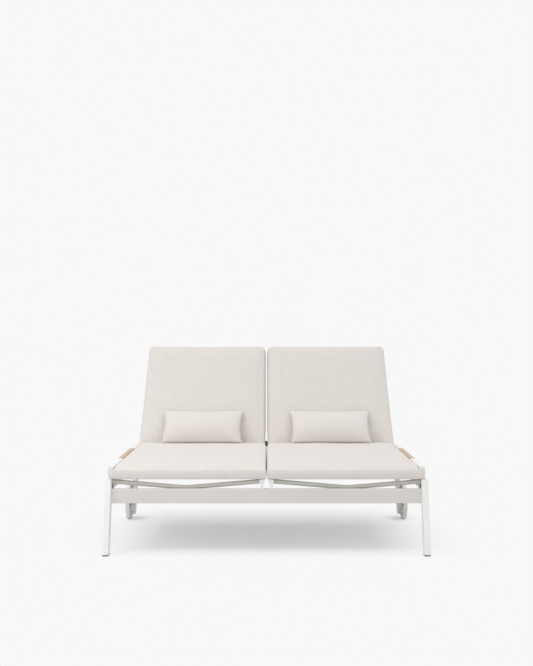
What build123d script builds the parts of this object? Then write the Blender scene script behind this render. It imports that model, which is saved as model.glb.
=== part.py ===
from build123d import *
import os
from math import cos, radians, sqrt

# Lengths are in millimetres. X runs across the lounger, Y from the foot end to the head end, Z up.
# Places along Y are first measured from the front edge of the front feet.

# Both chaises
FRAME_INNER_HALF = 745
GAP_BETWEEN_RAILS = 20
RAIL_WIDTH = 25
FRAME_TOP = 350
FRAME_LENGTH = 1930
TUBE_WALL = 2
FRONT_TUBE_WALL = 3
BACK_TUBE_WALL = 1.5
TUBE_CORNER = 4
FIXED_CLEARANCE = 0.1
RUNNING_CLEARANCE = 0.06
SEAT_CLEARANCE = 0.3
CUT_OVERRUN = 5

# Front legs
LEG_WIDTH = 30
LEG_DEPTH = 55
LEG_INSIDE_STEP = 5
LEG_LEAN_LENGTH = 90
GLIDE_HEIGHT = 7
GLIDE_MARGIN = 1

# Rails of the base
SIDE_RAIL_HEIGHT = 50
FRONT_RAIL_HEIGHT = 70
FRONT_RAIL_TOP = 307
FRONT_RAIL_SETBACK = 92
CROSS_RAIL_DEPTH = 25
INNER_RAIL_WIDTH = 24
INNER_RAIL_HEIGHT = 22
INNER_RAIL_START = 100
POST_WIDTH = 18
REAR_RAIL_START = 1130
REAR_RAIL_HEIGHT = 68
END_RAIL_HEIGHT = 25
END_PLATE_THICKNESS = 6
END_PLATE_HEIGHT = 38
CAP_THICKNESS = 3

# Arms
ARM_HEIGHT = 60
ARM_START = 120
ARM_END = 1240
ARM_WEB = 2
ARM_POCKET_DEPTH = 10
TEAK_LENGTH = 480
TEAK_START = 468
TEAK_CORNER = 2.5
TEAK_PROUD = 0.6

# Seat
SPREADER_DIAMETER = 22
SPREADER_WALL = 2
FRONT_SPREADER_PLACE = 128
FRONT_SPREADER_DROP = 30
MIDDLE_SPREADER_PLACE = 640
MIDDLE_SPREADER_DROP = 24
SPREADER_BEND_RADIUS = 80
SLING_THICKNESS = 1.5
SEAT_SLING_START = 142
SEAT_SLING_END = 1215

# Cushions
SEAT_CUSHION_START = 105
SEAT_CUSHION_END = 1230
SEAT_CUSHION_SIDE = 60
SEAT_CUSHION_CROWN = 9
SEAT_CUSHION_GAP = 1.6
CUSHION_SIDE_GAP = 0.5
CUSHION_EDGE = 20
SEAT_CUSHION_CORNER = 26
CUSHION_DRAWN_IN = 2
NOSE_DEPTH = 13
NOSE_HEIGHT = 43
NOSE_OUTER_STEP = 4
NOSE_OVERLAP = 40
NOSE_ROUNDING = 6
BACK_CUSHION_SIDE = 55
BACK_CUSHION_CROWN = 5
BACK_CUSHION_GAP = 11.4
BACK_CUSHION_OVERLAP = 4
BACK_CUSHION_START = 8
BACK_CUSHION_END = 786
BACK_CUSHION_CORNER = 38

# Pillow
PILLOW_LENGTH = 480
PILLOW_HEIGHT = 290
PILLOW_THICKNESS = 100
PILLOW_TILT = 36
PILLOW_INWARD = 13.5
PILLOW_PLACE = 1249.5
PILLOW_RISE = 504.3
PILLOW_DRAWN_IN = 9
PILLOW_CORNER = 6

# Back frames and their hinge
REST_ANGLE = 49.6
HINGE_PLACE = 1277
HINGE_RISE = 338
BACK_TUBE = 25
BACK_FRAME_LENGTH = 745
BACK_SIDE_GAP = 5
MIDDLE_TUBE_PLACE = 215
HINGE_BOLT_DIAMETER = 10
BOLT_HEAD_DIAMETER = 18
BOLT_HEAD_THICKNESS = 4
BOLT_TAIL = 3
BACK_SLING_THICKNESS = 2

# Props and racks
PROP_LENGTH = 250
PROP_SIDE_GAP = 45.5
PROP_ARM_THICKNESS = 6
PROP_ARM_WIDTH = 20
PROP_PIN_DIAMETER = 10
LUG_THICKNESS = 5
LUG_HEIGHT = 22
FOOT_BAR_DIAMETER = 14
FOOT_BAR_WALL = 1.5
FOOT_BAR_TAIL = 4
RACK_INSIDE_STEP = 30
RACK_THICKNESS = 6
RACK_HEIGHT = 25
RACK_STOP_HEIGHT = 12
RACK_STOP_LENGTH = 8
NOTCH_DIAMETER = 16
NOTCH_DEPTH = 6
NOTCH_ANGLE_SHARES = (0.85, 0.665, 0.44)

# Wheels and rear legs
WHEEL_DIAMETER = 200
WHEEL_WIDTH = 25
WHEEL_PLACE = 1030
WHEEL_SIDE_GAP = 2.4
TYRE_THICKNESS = 12
TYRE_SHOULDER = 5
WHEEL_WEB = 7
WHEEL_RIM = 7
HUB_DIAMETER = 46
HUB_RECESS = 5
SPOKE_HOLE_DIAMETER = 26
SPOKE_HOLE_CIRCLE = 116
SPOKE_HOLES = 6
AXLE_DIAMETER = 12
AXLE_WASHER = 2
AXLE_HEAD_DIAMETER = 22
AXLE_HEAD_THICKNESS = 3
HUB_CAP_THICKNESS = 1.6
REAR_LEG_WIDTH = 22
REAR_LEG_DEPTH = 62
REAR_LEG_RAKE_SHARE = 0.52
REAR_LEG_TIP = 30

# Shares of a filled cushion's side height, and of its edge, that shape its rounded sides
SIDE_HEIGHT_SHARES = (0, 0.1, 0.3, 0.55, 0.8, 0.94, 1)
SIDE_INSET_SHARES = (0.6, 0.25, 0.04, 0, 0.06, 0.28, 0.55)
CROWN_HEIGHT_SHARES = (0.4, 0.8, 1)
CROWN_INSET_SHARES = (0.05, 0.16, 0.32)
LENS_HEIGHT_SHARES = (0, 0.14, 0.34, 0.58, 0.8, 0.94)

# Worked out from the sizes above
RAIL_OUTER = FRAME_INNER_HALF + RAIL_WIDTH
LEG_INNER = FRAME_INNER_HALF + LEG_INSIDE_STEP
INNER_RAIL_NEAR = GAP_BETWEEN_RAILS / 2
INNER_RAIL_FAR = INNER_RAIL_NEAR + INNER_RAIL_WIDTH
INNER_RAIL_BOTTOM = FRAME_TOP - INNER_RAIL_HEIGHT
SIDE_RAIL_BOTTOM = FRAME_TOP - SIDE_RAIL_HEIGHT
REAR_RAIL_END = REAR_RAIL_START + CROSS_RAIL_DEPTH
END_RAIL_START = FRAME_LENGTH - CROSS_RAIL_DEPTH
END_RAIL_TOP = SIDE_RAIL_BOTTOM
BACK_INNER = INNER_RAIL_FAR + BACK_SIDE_GAP
BACK_OUTER = FRAME_INNER_HALF - BACK_SIDE_GAP
CHAISE_CENTRE = (BACK_INNER + BACK_OUTER) / 2
PROP_HALF_SPAN = (BACK_OUTER - BACK_INNER) / 2 - BACK_TUBE - PROP_SIDE_GAP
RACK_HALF_SPAN = PROP_HALF_SPAN - RACK_INSIDE_STEP
FOOT_BAR_RADIUS = FOOT_BAR_DIAMETER / 2
RACK_LAND = HINGE_RISE - FOOT_BAR_RADIUS - SEAT_CLEARANCE
WHEEL_RADIUS = WHEEL_DIAMETER / 2
WHEEL_INNER = FRAME_INNER_HALF + REAR_LEG_WIDTH + WHEEL_SIDE_GAP
CENTRE_PLACE = (FRAME_LENGTH + END_PLATE_THICKNESS) / 2
BACK_FRAME = Pos(0, HINGE_PLACE, HINGE_RISE) * Rot(X=REST_ANGLE)


def rounded_section(width, height, wall, corner):
    """A hollow rectangular section with rounded corners."""
    outer = RectangleRounded(width, height, corner)
    inner = RectangleRounded(width - 2 * wall, height - 2 * wall, corner - wall / 2)
    return outer - inner


def tube_across(x_from, x_to, place, rise, depth, height, wall=TUBE_WALL):
    """A rectangular tube along X, centred on a place and a rise."""
    plane = Plane(origin=(x_from, place, rise), x_dir=(0, 1, 0), z_dir=(1, 0, 0))
    return extrude(plane * rounded_section(depth, height, wall, TUBE_CORNER), amount=x_to - x_from)


def tube_along(start, end, x_centre, rise, width, height):
    """A rectangular tube along Y, centred on X and a rise."""
    plane = Plane(origin=(x_centre, start, rise), x_dir=(1, 0, 0), z_dir=(0, 1, 0))
    return extrude(plane * rounded_section(width, height, TUBE_WALL, TUBE_CORNER), amount=end - start)


def block(x_from, x_to, start, end, bottom, top):
    """A plain block between six faces."""
    return Pos((x_from + x_to) / 2, (start + end) / 2, (bottom + top) / 2) * Box(
        x_to - x_from, end - start, top - bottom)


def rod_across(x_from, x_to, place, rise, diameter):
    """A round bar along X."""
    plane = Plane(origin=(x_from, place, rise), x_dir=(0, 1, 0), z_dir=(1, 0, 0))
    return extrude(plane * Circle(diameter / 2), amount=x_to - x_from)


def side_plate(outline, x_from, x_to):
    """A sketch drawn in Y and Z, made a plate between two places on X."""
    plane = Plane(origin=(x_from, 0, 0), x_dir=(0, 1, 0), z_dir=(1, 0, 0))
    return extrude(plane * outline, amount=x_to - x_from)


def raked_leg(width, depth, corner, bottom, top):
    """A front leg's outer form, leaning back as it rises."""
    centre = LEG_INNER + LEG_WIDTH / 2
    place = LEG_DEPTH / 2 + LEG_LEAN_LENGTH * bottom / FRAME_TOP
    rise = top - bottom
    lean = LEG_LEAN_LENGTH * rise / FRAME_TOP
    section = Pos(centre, place, bottom) * RectangleRounded(width, depth, corner)
    return extrude(section, amount=sqrt(rise ** 2 + lean ** 2), dir=(0, lean, rise))


def front_leg():
    """A raked hollow leg with a closed flat top."""
    outer = raked_leg(LEG_WIDTH, LEG_DEPTH, TUBE_CORNER, GLIDE_HEIGHT, FRAME_TOP)
    inner = raked_leg(LEG_WIDTH - 2 * FRONT_TUBE_WALL, LEG_DEPTH - 2 * FRONT_TUBE_WALL,
                      TUBE_CORNER - FRONT_TUBE_WALL / 2, GLIDE_HEIGHT, FRAME_TOP - FRONT_TUBE_WALL)
    return outer - inner


def front_glide():
    """The foot under a front leg."""
    width = LEG_WIDTH - GLIDE_MARGIN
    depth = LEG_DEPTH - GLIDE_MARGIN
    return raked_leg(width, depth, TUBE_CORNER, 0, GLIDE_HEIGHT)


def rear_leg_outline(depth, tip_rise):
    """A leaning leg with a round tip, cut level under the side rail."""
    axle_rise = WHEEL_RADIUS
    tip_centre = tip_rise + depth / 2
    tip_place = WHEEL_PLACE - (axle_rise - tip_centre) * REAR_LEG_RAKE_SHARE
    rise = SIDE_RAIL_BOTTOM - tip_centre
    lean = rise * REAR_LEG_RAKE_SHARE
    length = sqrt(rise ** 2 + lean ** 2)
    across = depth / 2 * rise / length
    drop = depth / 2 * lean / length
    top_half = depth / 2 * length / rise
    corners = [(tip_place - across, tip_centre + drop), (tip_place + across, tip_centre - drop),
               (tip_place + lean + top_half, SIDE_RAIL_BOTTOM), (tip_place + lean - top_half, SIDE_RAIL_BOTTOM)]
    return Polygon(*corners, align=None) + Pos(tip_place, tip_centre) * Circle(depth / 2)


def rear_leg():
    """A raked hollow leg that holds the axle."""
    x_to = FRAME_INNER_HALF + REAR_LEG_WIDTH
    outer = side_plate(rear_leg_outline(REAR_LEG_DEPTH, REAR_LEG_TIP), FRAME_INNER_HALF, x_to)
    inner = side_plate(rear_leg_outline(REAR_LEG_DEPTH - 2 * TUBE_WALL, REAR_LEG_TIP + TUBE_WALL),
                       FRAME_INNER_HALF + TUBE_WALL, x_to - TUBE_WALL)
    bore = rod_across(FRAME_INNER_HALF, x_to, WHEEL_PLACE, WHEEL_RADIUS, AXLE_DIAMETER + 2 * FIXED_CLEARANCE)
    return outer - inner - bore


def side_rail():
    """The outer rail, cut to the rake of the front leg."""
    rail = tube_along(LEG_LEAN_LENGTH, FRAME_LENGTH - CAP_THICKNESS, FRAME_INNER_HALF + RAIL_WIDTH / 2,
                      FRAME_TOP - SIDE_RAIL_HEIGHT / 2, RAIL_WIDTH, SIDE_RAIL_HEIGHT)
    lean = LEG_LEAN_LENGTH / FRAME_TOP
    low = SIDE_RAIL_BOTTOM - CUT_OVERRUN
    high = FRAME_TOP + CUT_OVERRUN
    corners = [(0, low), (LEG_DEPTH + low * lean, low), (LEG_DEPTH + high * lean, high), (0, high)]
    bore = rod_across(FRAME_INNER_HALF, RAIL_OUTER, HINGE_PLACE, HINGE_RISE,
                      HINGE_BOLT_DIAMETER + 2 * FIXED_CLEARANCE)
    return rail - side_plate(Polygon(*corners, align=None), FRAME_INNER_HALF, RAIL_OUTER) - bore


def inner_rail():
    """The low rail beside the centre gap."""
    rail = tube_along(INNER_RAIL_START, FRAME_LENGTH, (INNER_RAIL_NEAR + INNER_RAIL_FAR) / 2,
                      FRAME_TOP - INNER_RAIL_HEIGHT / 2, INNER_RAIL_WIDTH, INNER_RAIL_HEIGHT)
    bore = rod_across(INNER_RAIL_NEAR, INNER_RAIL_FAR, HINGE_PLACE, HINGE_RISE,
                      HINGE_BOLT_DIAMETER + 2 * FIXED_CLEARANCE)
    return rail - bore


def front_rail():
    """The deep cross rail between the front legs."""
    return tube_across(-LEG_INNER, LEG_INNER, FRONT_RAIL_SETBACK + CROSS_RAIL_DEPTH / 2,
                       FRONT_RAIL_TOP - FRONT_RAIL_HEIGHT / 2, CROSS_RAIL_DEPTH, FRONT_RAIL_HEIGHT,
                       FRONT_TUBE_WALL)


def rear_rail():
    """The cross rail between the rear legs."""
    return tube_across(-FRAME_INNER_HALF, FRAME_INNER_HALF, REAR_RAIL_START + CROSS_RAIL_DEPTH / 2,
                       INNER_RAIL_BOTTOM - REAR_RAIL_HEIGHT / 2, CROSS_RAIL_DEPTH, REAR_RAIL_HEIGHT)


def end_rail():
    """The cross rail under the head end."""
    return tube_across(-RAIL_OUTER, RAIL_OUTER, END_RAIL_START + CROSS_RAIL_DEPTH / 2,
                       END_RAIL_TOP - END_RAIL_HEIGHT / 2, CROSS_RAIL_DEPTH, END_RAIL_HEIGHT)


def centre_post(start, bottom):
    """A short post that carries an inner rail on a cross rail."""
    near = (INNER_RAIL_NEAR + INNER_RAIL_FAR - POST_WIDTH) / 2
    return block(near, near + POST_WIDTH, start, start + CROSS_RAIL_DEPTH, bottom, INNER_RAIL_BOTTOM)


def end_bracket():
    """The bracket that ties both inner rails to the end rail."""
    plate = block(-INNER_RAIL_FAR, INNER_RAIL_FAR, FRAME_LENGTH, FRAME_LENGTH + END_PLATE_THICKNESS,
                  FRAME_TOP - END_PLATE_HEIGHT, FRAME_TOP)
    post = centre_post(END_RAIL_START, END_RAIL_TOP)
    return plate + post + mirror(post, about=Plane.YZ)


def arm_rise():
    """The middle of the arm's height."""
    return FRAME_TOP + ARM_HEIGHT / 2


def arm():
    """The arm's two-chamber tube, with a pocket for the insert."""
    centre = FRAME_INNER_HALF + RAIL_WIDTH / 2
    start = ARM_START + CAP_THICKNESS
    plane = Plane(origin=(centre, start, FRAME_TOP), x_dir=(1, 0, 0), z_dir=(0, -1, 0))
    low_height = ARM_HEIGHT - ARM_POCKET_DEPTH - ARM_WEB - TUBE_WALL
    high_height = ARM_POCKET_DEPTH - ARM_WEB
    inside = RAIL_WIDTH - 2 * TUBE_WALL
    section = Pos(0, ARM_HEIGHT / 2) * RectangleRounded(RAIL_WIDTH, ARM_HEIGHT, TUBE_CORNER)
    section -= Pos(0, TUBE_WALL + low_height / 2) * Rectangle(inside, low_height)
    section -= Pos(0, ARM_HEIGHT - ARM_WEB - high_height / 2) * Rectangle(inside, high_height)
    body = extrude(plane * section, amount=-(ARM_END - CAP_THICKNESS - start))
    pocket = block(FRAME_INNER_HALF - CUT_OVERRUN, RAIL_OUTER + CUT_OVERRUN, TEAK_START, TEAK_START + TEAK_LENGTH,
                   FRAME_TOP + ARM_HEIGHT - ARM_POCKET_DEPTH, FRAME_TOP + ARM_HEIGHT + CUT_OVERRUN)
    return body - pocket


def teak_insert():
    """The wooden arm rest, let into the arm."""
    floor = FRAME_TOP + ARM_HEIGHT - ARM_POCKET_DEPTH
    plank = block(FRAME_INNER_HALF, RAIL_OUTER, TEAK_START + SEAT_CLEARANCE,
                  TEAK_START + TEAK_LENGTH - SEAT_CLEARANCE, floor, FRAME_TOP + ARM_HEIGHT + TEAK_PROUD)
    long_edges = plank.edges().filter_by(Axis.Y).group_by(Axis.Z)[-1]
    return fillet(long_edges, TEAK_CORNER)


def end_cap(x_centre, start, rise, width, height):
    """A flat cap that closes a tube's end."""
    plane = Plane(origin=(x_centre, start, rise), x_dir=(1, 0, 0), z_dir=(0, 1, 0))
    return extrude(plane * RectangleRounded(width, height, TUBE_CORNER), amount=CAP_THICKNESS)


def end_caps():
    """The caps of one side's arm, side rail and inner rail."""
    rail_centre = FRAME_INNER_HALF + RAIL_WIDTH / 2
    inner_centre = (INNER_RAIL_NEAR + INNER_RAIL_FAR) / 2
    return [end_cap(rail_centre, ARM_START, arm_rise(), RAIL_WIDTH, ARM_HEIGHT),
            end_cap(rail_centre, ARM_END - CAP_THICKNESS, arm_rise(), RAIL_WIDTH, ARM_HEIGHT),
            end_cap(rail_centre, FRAME_LENGTH - CAP_THICKNESS, FRAME_TOP - SIDE_RAIL_HEIGHT / 2,
                    RAIL_WIDTH, SIDE_RAIL_HEIGHT),
            end_cap(inner_centre, INNER_RAIL_START - CAP_THICKNESS, FRAME_TOP - INNER_RAIL_HEIGHT / 2,
                    INNER_RAIL_WIDTH, INNER_RAIL_HEIGHT)]


def spreader(place, outer_end, top, drop):
    """A round tube that dips in the middle to clear the sling."""
    end_rise = top - SPREADER_DIAMETER / 2
    middle = (INNER_RAIL_FAR + outer_end) / 2
    half = (outer_end - INNER_RAIL_FAR) / 2 + CUT_OVERRUN
    slope = drop / (half - CUT_OVERRUN)
    ends_rise = end_rise + slope * CUT_OVERRUN
    path = FilletPolyline((middle - half, place, ends_rise), (middle, place, end_rise - drop),
                          (middle + half, place, ends_rise), radius=SPREADER_BEND_RADIUS)
    section = Circle(SPREADER_DIAMETER / 2) - Circle(SPREADER_DIAMETER / 2 - SPREADER_WALL)
    tube = sweep(Plane(origin=path @ 0, z_dir=path % 0) * section, path=path)
    room = block(INNER_RAIL_FAR, outer_end, place - SPREADER_DIAMETER, place + SPREADER_DIAMETER,
                 end_rise - drop - SPREADER_DIAMETER, top + SPREADER_DIAMETER)
    return tube & room


def seat_sling():
    """The stretched sheet between a side rail and an inner rail."""
    return block(INNER_RAIL_FAR, FRAME_INNER_HALF, SEAT_SLING_START, SEAT_SLING_END,
                 FRAME_TOP - SLING_THICKNESS, FRAME_TOP)


def pad_outline(width, length, corner, drawn_in):
    """A four-sided outline whose sides are drawn in a little between rounded corners."""
    half_width = width / 2
    half_length = length / 2
    sides = [ThreePointArc((-half_width, -half_length), (0, drawn_in - half_length), (half_width, -half_length)),
             ThreePointArc((half_width, -half_length), (half_width - drawn_in, 0), (half_width, half_length)),
             ThreePointArc((half_width, half_length), (0, half_length - drawn_in), (-half_width, half_length)),
             ThreePointArc((-half_width, half_length), (drawn_in - half_width, 0), (-half_width, -half_length))]
    face = make_face(sides)
    return fillet(face.vertices(), corner)


def cushion(x_from, x_to, start, end, bottom, side, crown, corner):
    """A filled cushion with rounded sides and a crowned top."""
    width = x_to - x_from
    length = end - start
    levels = [(share * side, inset * CUSHION_EDGE)
              for share, inset in zip(SIDE_HEIGHT_SHARES, SIDE_INSET_SHARES)]
    levels += [(side + share * crown, CUSHION_EDGE + inset * width)
               for share, inset in zip(CROWN_HEIGHT_SHARES, CROWN_INSET_SHARES)]
    sections = [Pos(0, 0, rise) * pad_outline(width - 2 * inset, length - 2 * inset, corner,
                                              CUSHION_DRAWN_IN)
                for rise, inset in levels]
    return Pos((x_from + x_to) / 2, (start + end) / 2, bottom) * loft(sections, ruled=True)


def cushion_nose():
    """The cushion's front corner, which bulges across the end of the arm."""
    far = RAIL_OUTER - NOSE_OUTER_STEP
    nose = block(FRAME_INNER_HALF - NOSE_OVERLAP, far, SEAT_CUSHION_START, SEAT_CUSHION_START + NOSE_DEPTH,
                 FRAME_TOP, FRAME_TOP + NOSE_HEIGHT)
    outer_edges = nose.faces().sort_by(Axis.X)[-1].edges()
    return fillet(outer_edges, NOSE_ROUNDING)


def seat_cushion():
    """The long cushion on the seat's sling."""
    body = cushion(SEAT_CUSHION_GAP / 2, FRAME_INNER_HALF - CUSHION_SIDE_GAP, SEAT_CUSHION_START,
                   SEAT_CUSHION_END, FRAME_TOP, SEAT_CUSHION_SIDE, SEAT_CUSHION_CROWN,
                   SEAT_CUSHION_CORNER)
    return body + cushion_nose()


def back_cushion():
    """The cushion on a back frame, laid flat along the frame."""
    return cushion(BACK_CUSHION_GAP / 2, FRAME_INNER_HALF + BACK_CUSHION_OVERLAP, BACK_CUSHION_START,
                   BACK_CUSHION_END, BACK_TUBE / 2 + BACK_SLING_THICKNESS, BACK_CUSHION_SIDE,
                   BACK_CUSHION_CROWN, BACK_CUSHION_CORNER)


def pillow():
    """A small lens-shaped pillow with a sharp seam all round."""
    half_height = PILLOW_HEIGHT / 2
    half_thickness = PILLOW_THICKNESS / 2
    radius = (half_height ** 2 + half_thickness ** 2) / (2 * half_thickness)
    sections = []
    for share in LENS_HEIGHT_SHARES:
        rise = share * half_thickness
        reach = sqrt(radius ** 2 - (radius - half_thickness + rise) ** 2)
        inset = half_height - reach
        fullness = reach / half_height
        sections.append(Pos(0, 0, rise) * pad_outline(PILLOW_LENGTH - 2 * inset, 2 * reach, PILLOW_CORNER,
                                                      PILLOW_DRAWN_IN * fullness))
    upper = loft(sections, ruled=True)
    body = upper + mirror(upper, about=Plane.XY)
    return Pos(CHAISE_CENTRE - PILLOW_INWARD, PILLOW_PLACE, PILLOW_RISE) * Rot(X=PILLOW_TILT) * body


def closed_tube(start, end, near, far):
    """A square back tube along Y, closed at both ends and bored for the hinge bolt."""
    half = BACK_TUBE / 2
    wall = BACK_TUBE_WALL
    outer = block(near, far, start, end, -half, half)
    outer = fillet(outer.edges().filter_by(Axis.Y), TUBE_CORNER)
    inner = block(near + wall, far - wall, start + wall, end - wall, wall - half, half - wall)
    bore = rod_across(near, far, 0, 0, HINGE_BOLT_DIAMETER + 2 * RUNNING_CLEARANCE)
    return outer - inner - bore


def back_inner_tube():
    """The back frame's side tube beside the centre gap."""
    return closed_tube(-BACK_TUBE / 2, BACK_FRAME_LENGTH, BACK_INNER, BACK_INNER + BACK_TUBE)


def back_outer_tube():
    """The back frame's side tube beside the side rail."""
    return closed_tube(-BACK_TUBE / 2, BACK_FRAME_LENGTH, BACK_OUTER - BACK_TUBE, BACK_OUTER)


def back_cross_tube(place):
    """A square tube between the back frame's side tubes."""
    return tube_across(BACK_INNER + BACK_TUBE, BACK_OUTER - BACK_TUBE, place, 0, BACK_TUBE, BACK_TUBE,
                       BACK_TUBE_WALL)


def back_sling():
    """The stretched sheet on the front of a back frame."""
    half = BACK_TUBE / 2
    return block(BACK_INNER, BACK_OUTER, -half, BACK_FRAME_LENGTH, half, half + BACK_SLING_THICKNESS)


def prop_lug():
    """A lug with a headed pin, for one arm of the prop."""
    arm_near = CHAISE_CENTRE + PROP_HALF_SPAN - PROP_ARM_THICKNESS / 2
    plate_far = arm_near - SEAT_CLEARANCE
    plate_near = plate_far - LUG_THICKNESS
    start = MIDDLE_TUBE_PLACE + BACK_TUBE / 2
    plate = block(plate_near, plate_far, start, PROP_LENGTH, -LUG_HEIGHT / 2, LUG_HEIGHT / 2)
    plate += rod_across(plate_near, plate_far, PROP_LENGTH, 0, LUG_HEIGHT)
    head_start = arm_near + PROP_ARM_THICKNESS + SEAT_CLEARANCE
    pin = rod_across(plate_far, head_start, PROP_LENGTH, 0, PROP_PIN_DIAMETER)
    head = rod_across(head_start, head_start + BOLT_TAIL, PROP_LENGTH, 0, PROP_ARM_WIDTH)
    return plate + pin + head


def prop_arm():
    """A flat arm with an eye at each end, drawn along Y from its pivot."""
    near = CHAISE_CENTRE + PROP_HALF_SPAN - PROP_ARM_THICKNESS / 2
    outline = Pos(PROP_LENGTH / 2, 0) * SlotCenterToCenter(PROP_LENGTH, PROP_ARM_WIDTH)
    outline -= Circle(PROP_PIN_DIAMETER / 2 + RUNNING_CLEARANCE)
    outline -= Pos(PROP_LENGTH, 0) * Circle(FOOT_BAR_RADIUS + FIXED_CLEARANCE)
    return side_plate(outline, near, near + PROP_ARM_THICKNESS)


def foot_bar():
    """The round bar at the prop's foot."""
    reach = PROP_HALF_SPAN + PROP_ARM_THICKNESS / 2 + FOOT_BAR_TAIL
    outer = rod_across(CHAISE_CENTRE - reach, CHAISE_CENTRE + reach, PROP_LENGTH, 0, FOOT_BAR_DIAMETER)
    return outer - rod_across(CHAISE_CENTRE - reach, CHAISE_CENTRE + reach, PROP_LENGTH, 0,
                              FOOT_BAR_DIAMETER - 2 * FOOT_BAR_WALL)


def foot_place(angle):
    """Where the prop's foot stands along Y when the back stands at an angle."""
    return HINGE_PLACE + 2 * PROP_LENGTH * cos(radians(angle))


def rack():
    """A bar with a land, rounded notches and a stop at each end, under the prop's foot."""
    near = CHAISE_CENTRE + RACK_HALF_SPAN - RACK_THICKNESS / 2
    reach = FOOT_BAR_RADIUS + SEAT_CLEARANCE
    front = foot_place(REST_ANGLE) - reach
    rear = foot_place(0) + reach
    bottom = END_RAIL_TOP - RACK_HEIGHT
    bar = Pos((REAR_RAIL_END + END_RAIL_START) / 2, (bottom + END_RAIL_TOP) / 2) * Rectangle(
        END_RAIL_START - REAR_RAIL_END, RACK_HEIGHT)
    tall = RACK_LAND - END_RAIL_TOP
    land = Pos((front + rear) / 2, END_RAIL_TOP + tall / 2) * Rectangle(rear - front, tall)
    outline = bar + land
    stop_rise = tall + RACK_STOP_HEIGHT
    for place in (front - RACK_STOP_LENGTH / 2, rear + RACK_STOP_LENGTH / 2):
        outline += Pos(place, END_RAIL_TOP + stop_rise / 2) * Rectangle(RACK_STOP_LENGTH, stop_rise)
    for share in NOTCH_ANGLE_SHARES:
        centre_rise = RACK_LAND - NOTCH_DEPTH + NOTCH_DIAMETER / 2
        outline -= Pos(foot_place(REST_ANGLE * share), centre_rise) * Circle(NOTCH_DIAMETER / 2)
    return side_plate(outline, near, near + RACK_THICKNESS)


def hinge_bolt(head_face, inside_face, tube_near_face, tube_far_face):
    """A headed bolt with a shoulder between a rail and the back frame, along X."""
    way = 1 if tube_far_face > head_face else -1
    spans = [(head_face - way * BOLT_HEAD_THICKNESS, head_face, BOLT_HEAD_DIAMETER),
             (head_face, tube_far_face + way * BOLT_TAIL, HINGE_BOLT_DIAMETER),
             (inside_face, tube_near_face - way * SEAT_CLEARANCE, BOLT_HEAD_DIAMETER)]
    pieces = [rod_across(min(a, b), max(a, b), HINGE_PLACE, HINGE_RISE, size) for a, b, size in spans]
    return pieces[0] + pieces[1] + pieces[2]


def hinge_bolts():
    """The two bolts of one back frame."""
    outer = hinge_bolt(RAIL_OUTER, FRAME_INNER_HALF, BACK_OUTER, BACK_OUTER - BACK_TUBE)
    inner = hinge_bolt(INNER_RAIL_NEAR, INNER_RAIL_FAR, BACK_INNER, BACK_INNER + BACK_TUBE)
    return [outer, inner]


def on_axle(shape):
    """A turned piece, made about Z, set on the right wheel's axle."""
    plane = Plane(origin=(WHEEL_INNER, WHEEL_PLACE, WHEEL_RADIUS), x_dir=(0, 1, 0), z_dir=(1, 0, 0))
    return plane * shape


def wheel():
    """The moulded wheel: rim, pierced web and hub."""
    rim_outer = WHEEL_RADIUS - TYRE_THICKNESS
    rim = Circle(rim_outer) - Circle(rim_outer - WHEEL_RIM)
    body = extrude(rim, amount=WHEEL_WIDTH)
    web = Circle(rim_outer) - PolarLocations(SPOKE_HOLE_CIRCLE / 2, SPOKE_HOLES) * Circle(SPOKE_HOLE_DIAMETER / 2)
    body += Pos(0, 0, (WHEEL_WIDTH - WHEEL_WEB) / 2) * extrude(web, amount=WHEEL_WEB)
    body += extrude(Circle(HUB_DIAMETER / 2), amount=WHEEL_WIDTH)
    bore = extrude(Circle(AXLE_DIAMETER / 2 + RUNNING_CLEARANCE), amount=WHEEL_WIDTH)
    recess = extrude(Circle(AXLE_HEAD_DIAMETER / 2 + SEAT_CLEARANCE), amount=HUB_RECESS)
    return on_axle(body - bore - Pos(0, 0, WHEEL_WIDTH - HUB_RECESS) * recess)


def tyre():
    """The plain tread ring round the wheel."""
    inner = WHEEL_RADIUS - TYRE_THICKNESS
    ring = extrude(Circle(WHEEL_RADIUS) - Circle(inner), amount=WHEEL_WIDTH)
    rims = ring.edges().filter_by(GeomType.CIRCLE).group_by(SortBy.RADIUS)[-1]
    return on_axle(fillet(rims, TYRE_SHOULDER))


def hub_cap():
    """The thin disc that closes the hub's recess."""
    cap = extrude(Circle(HUB_DIAMETER / 2), amount=HUB_CAP_THICKNESS)
    return on_axle(Pos(0, 0, WHEEL_WIDTH) * cap)


def axle_bolt():
    """The bolt that the wheel turns on, with its washer and inner head."""
    leg_outer = FRAME_INNER_HALF + REAR_LEG_WIDTH
    seat = WHEEL_INNER + WHEEL_WIDTH - HUB_RECESS + SEAT_CLEARANCE
    shank = rod_across(FRAME_INNER_HALF, seat, WHEEL_PLACE, WHEEL_RADIUS, AXLE_DIAMETER)
    washer = rod_across(leg_outer, leg_outer + AXLE_WASHER, WHEEL_PLACE, WHEEL_RADIUS, AXLE_HEAD_DIAMETER)
    outer_head = rod_across(seat, seat + AXLE_HEAD_THICKNESS, WHEEL_PLACE, WHEEL_RADIUS, AXLE_HEAD_DIAMETER)
    inner_head = rod_across(FRAME_INNER_HALF - AXLE_HEAD_THICKNESS, FRAME_INNER_HALF, WHEEL_PLACE,
                            WHEEL_RADIUS, AXLE_HEAD_DIAMETER)
    return shank + washer + outer_head + inner_head


def pair_on_chaise(shape):
    """The same piece at both sides of one chaise."""
    about = Plane(origin=(CHAISE_CENTRE, 0, 0), z_dir=(1, 0, 0))
    return [shape, mirror(shape, about=about)]


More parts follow.
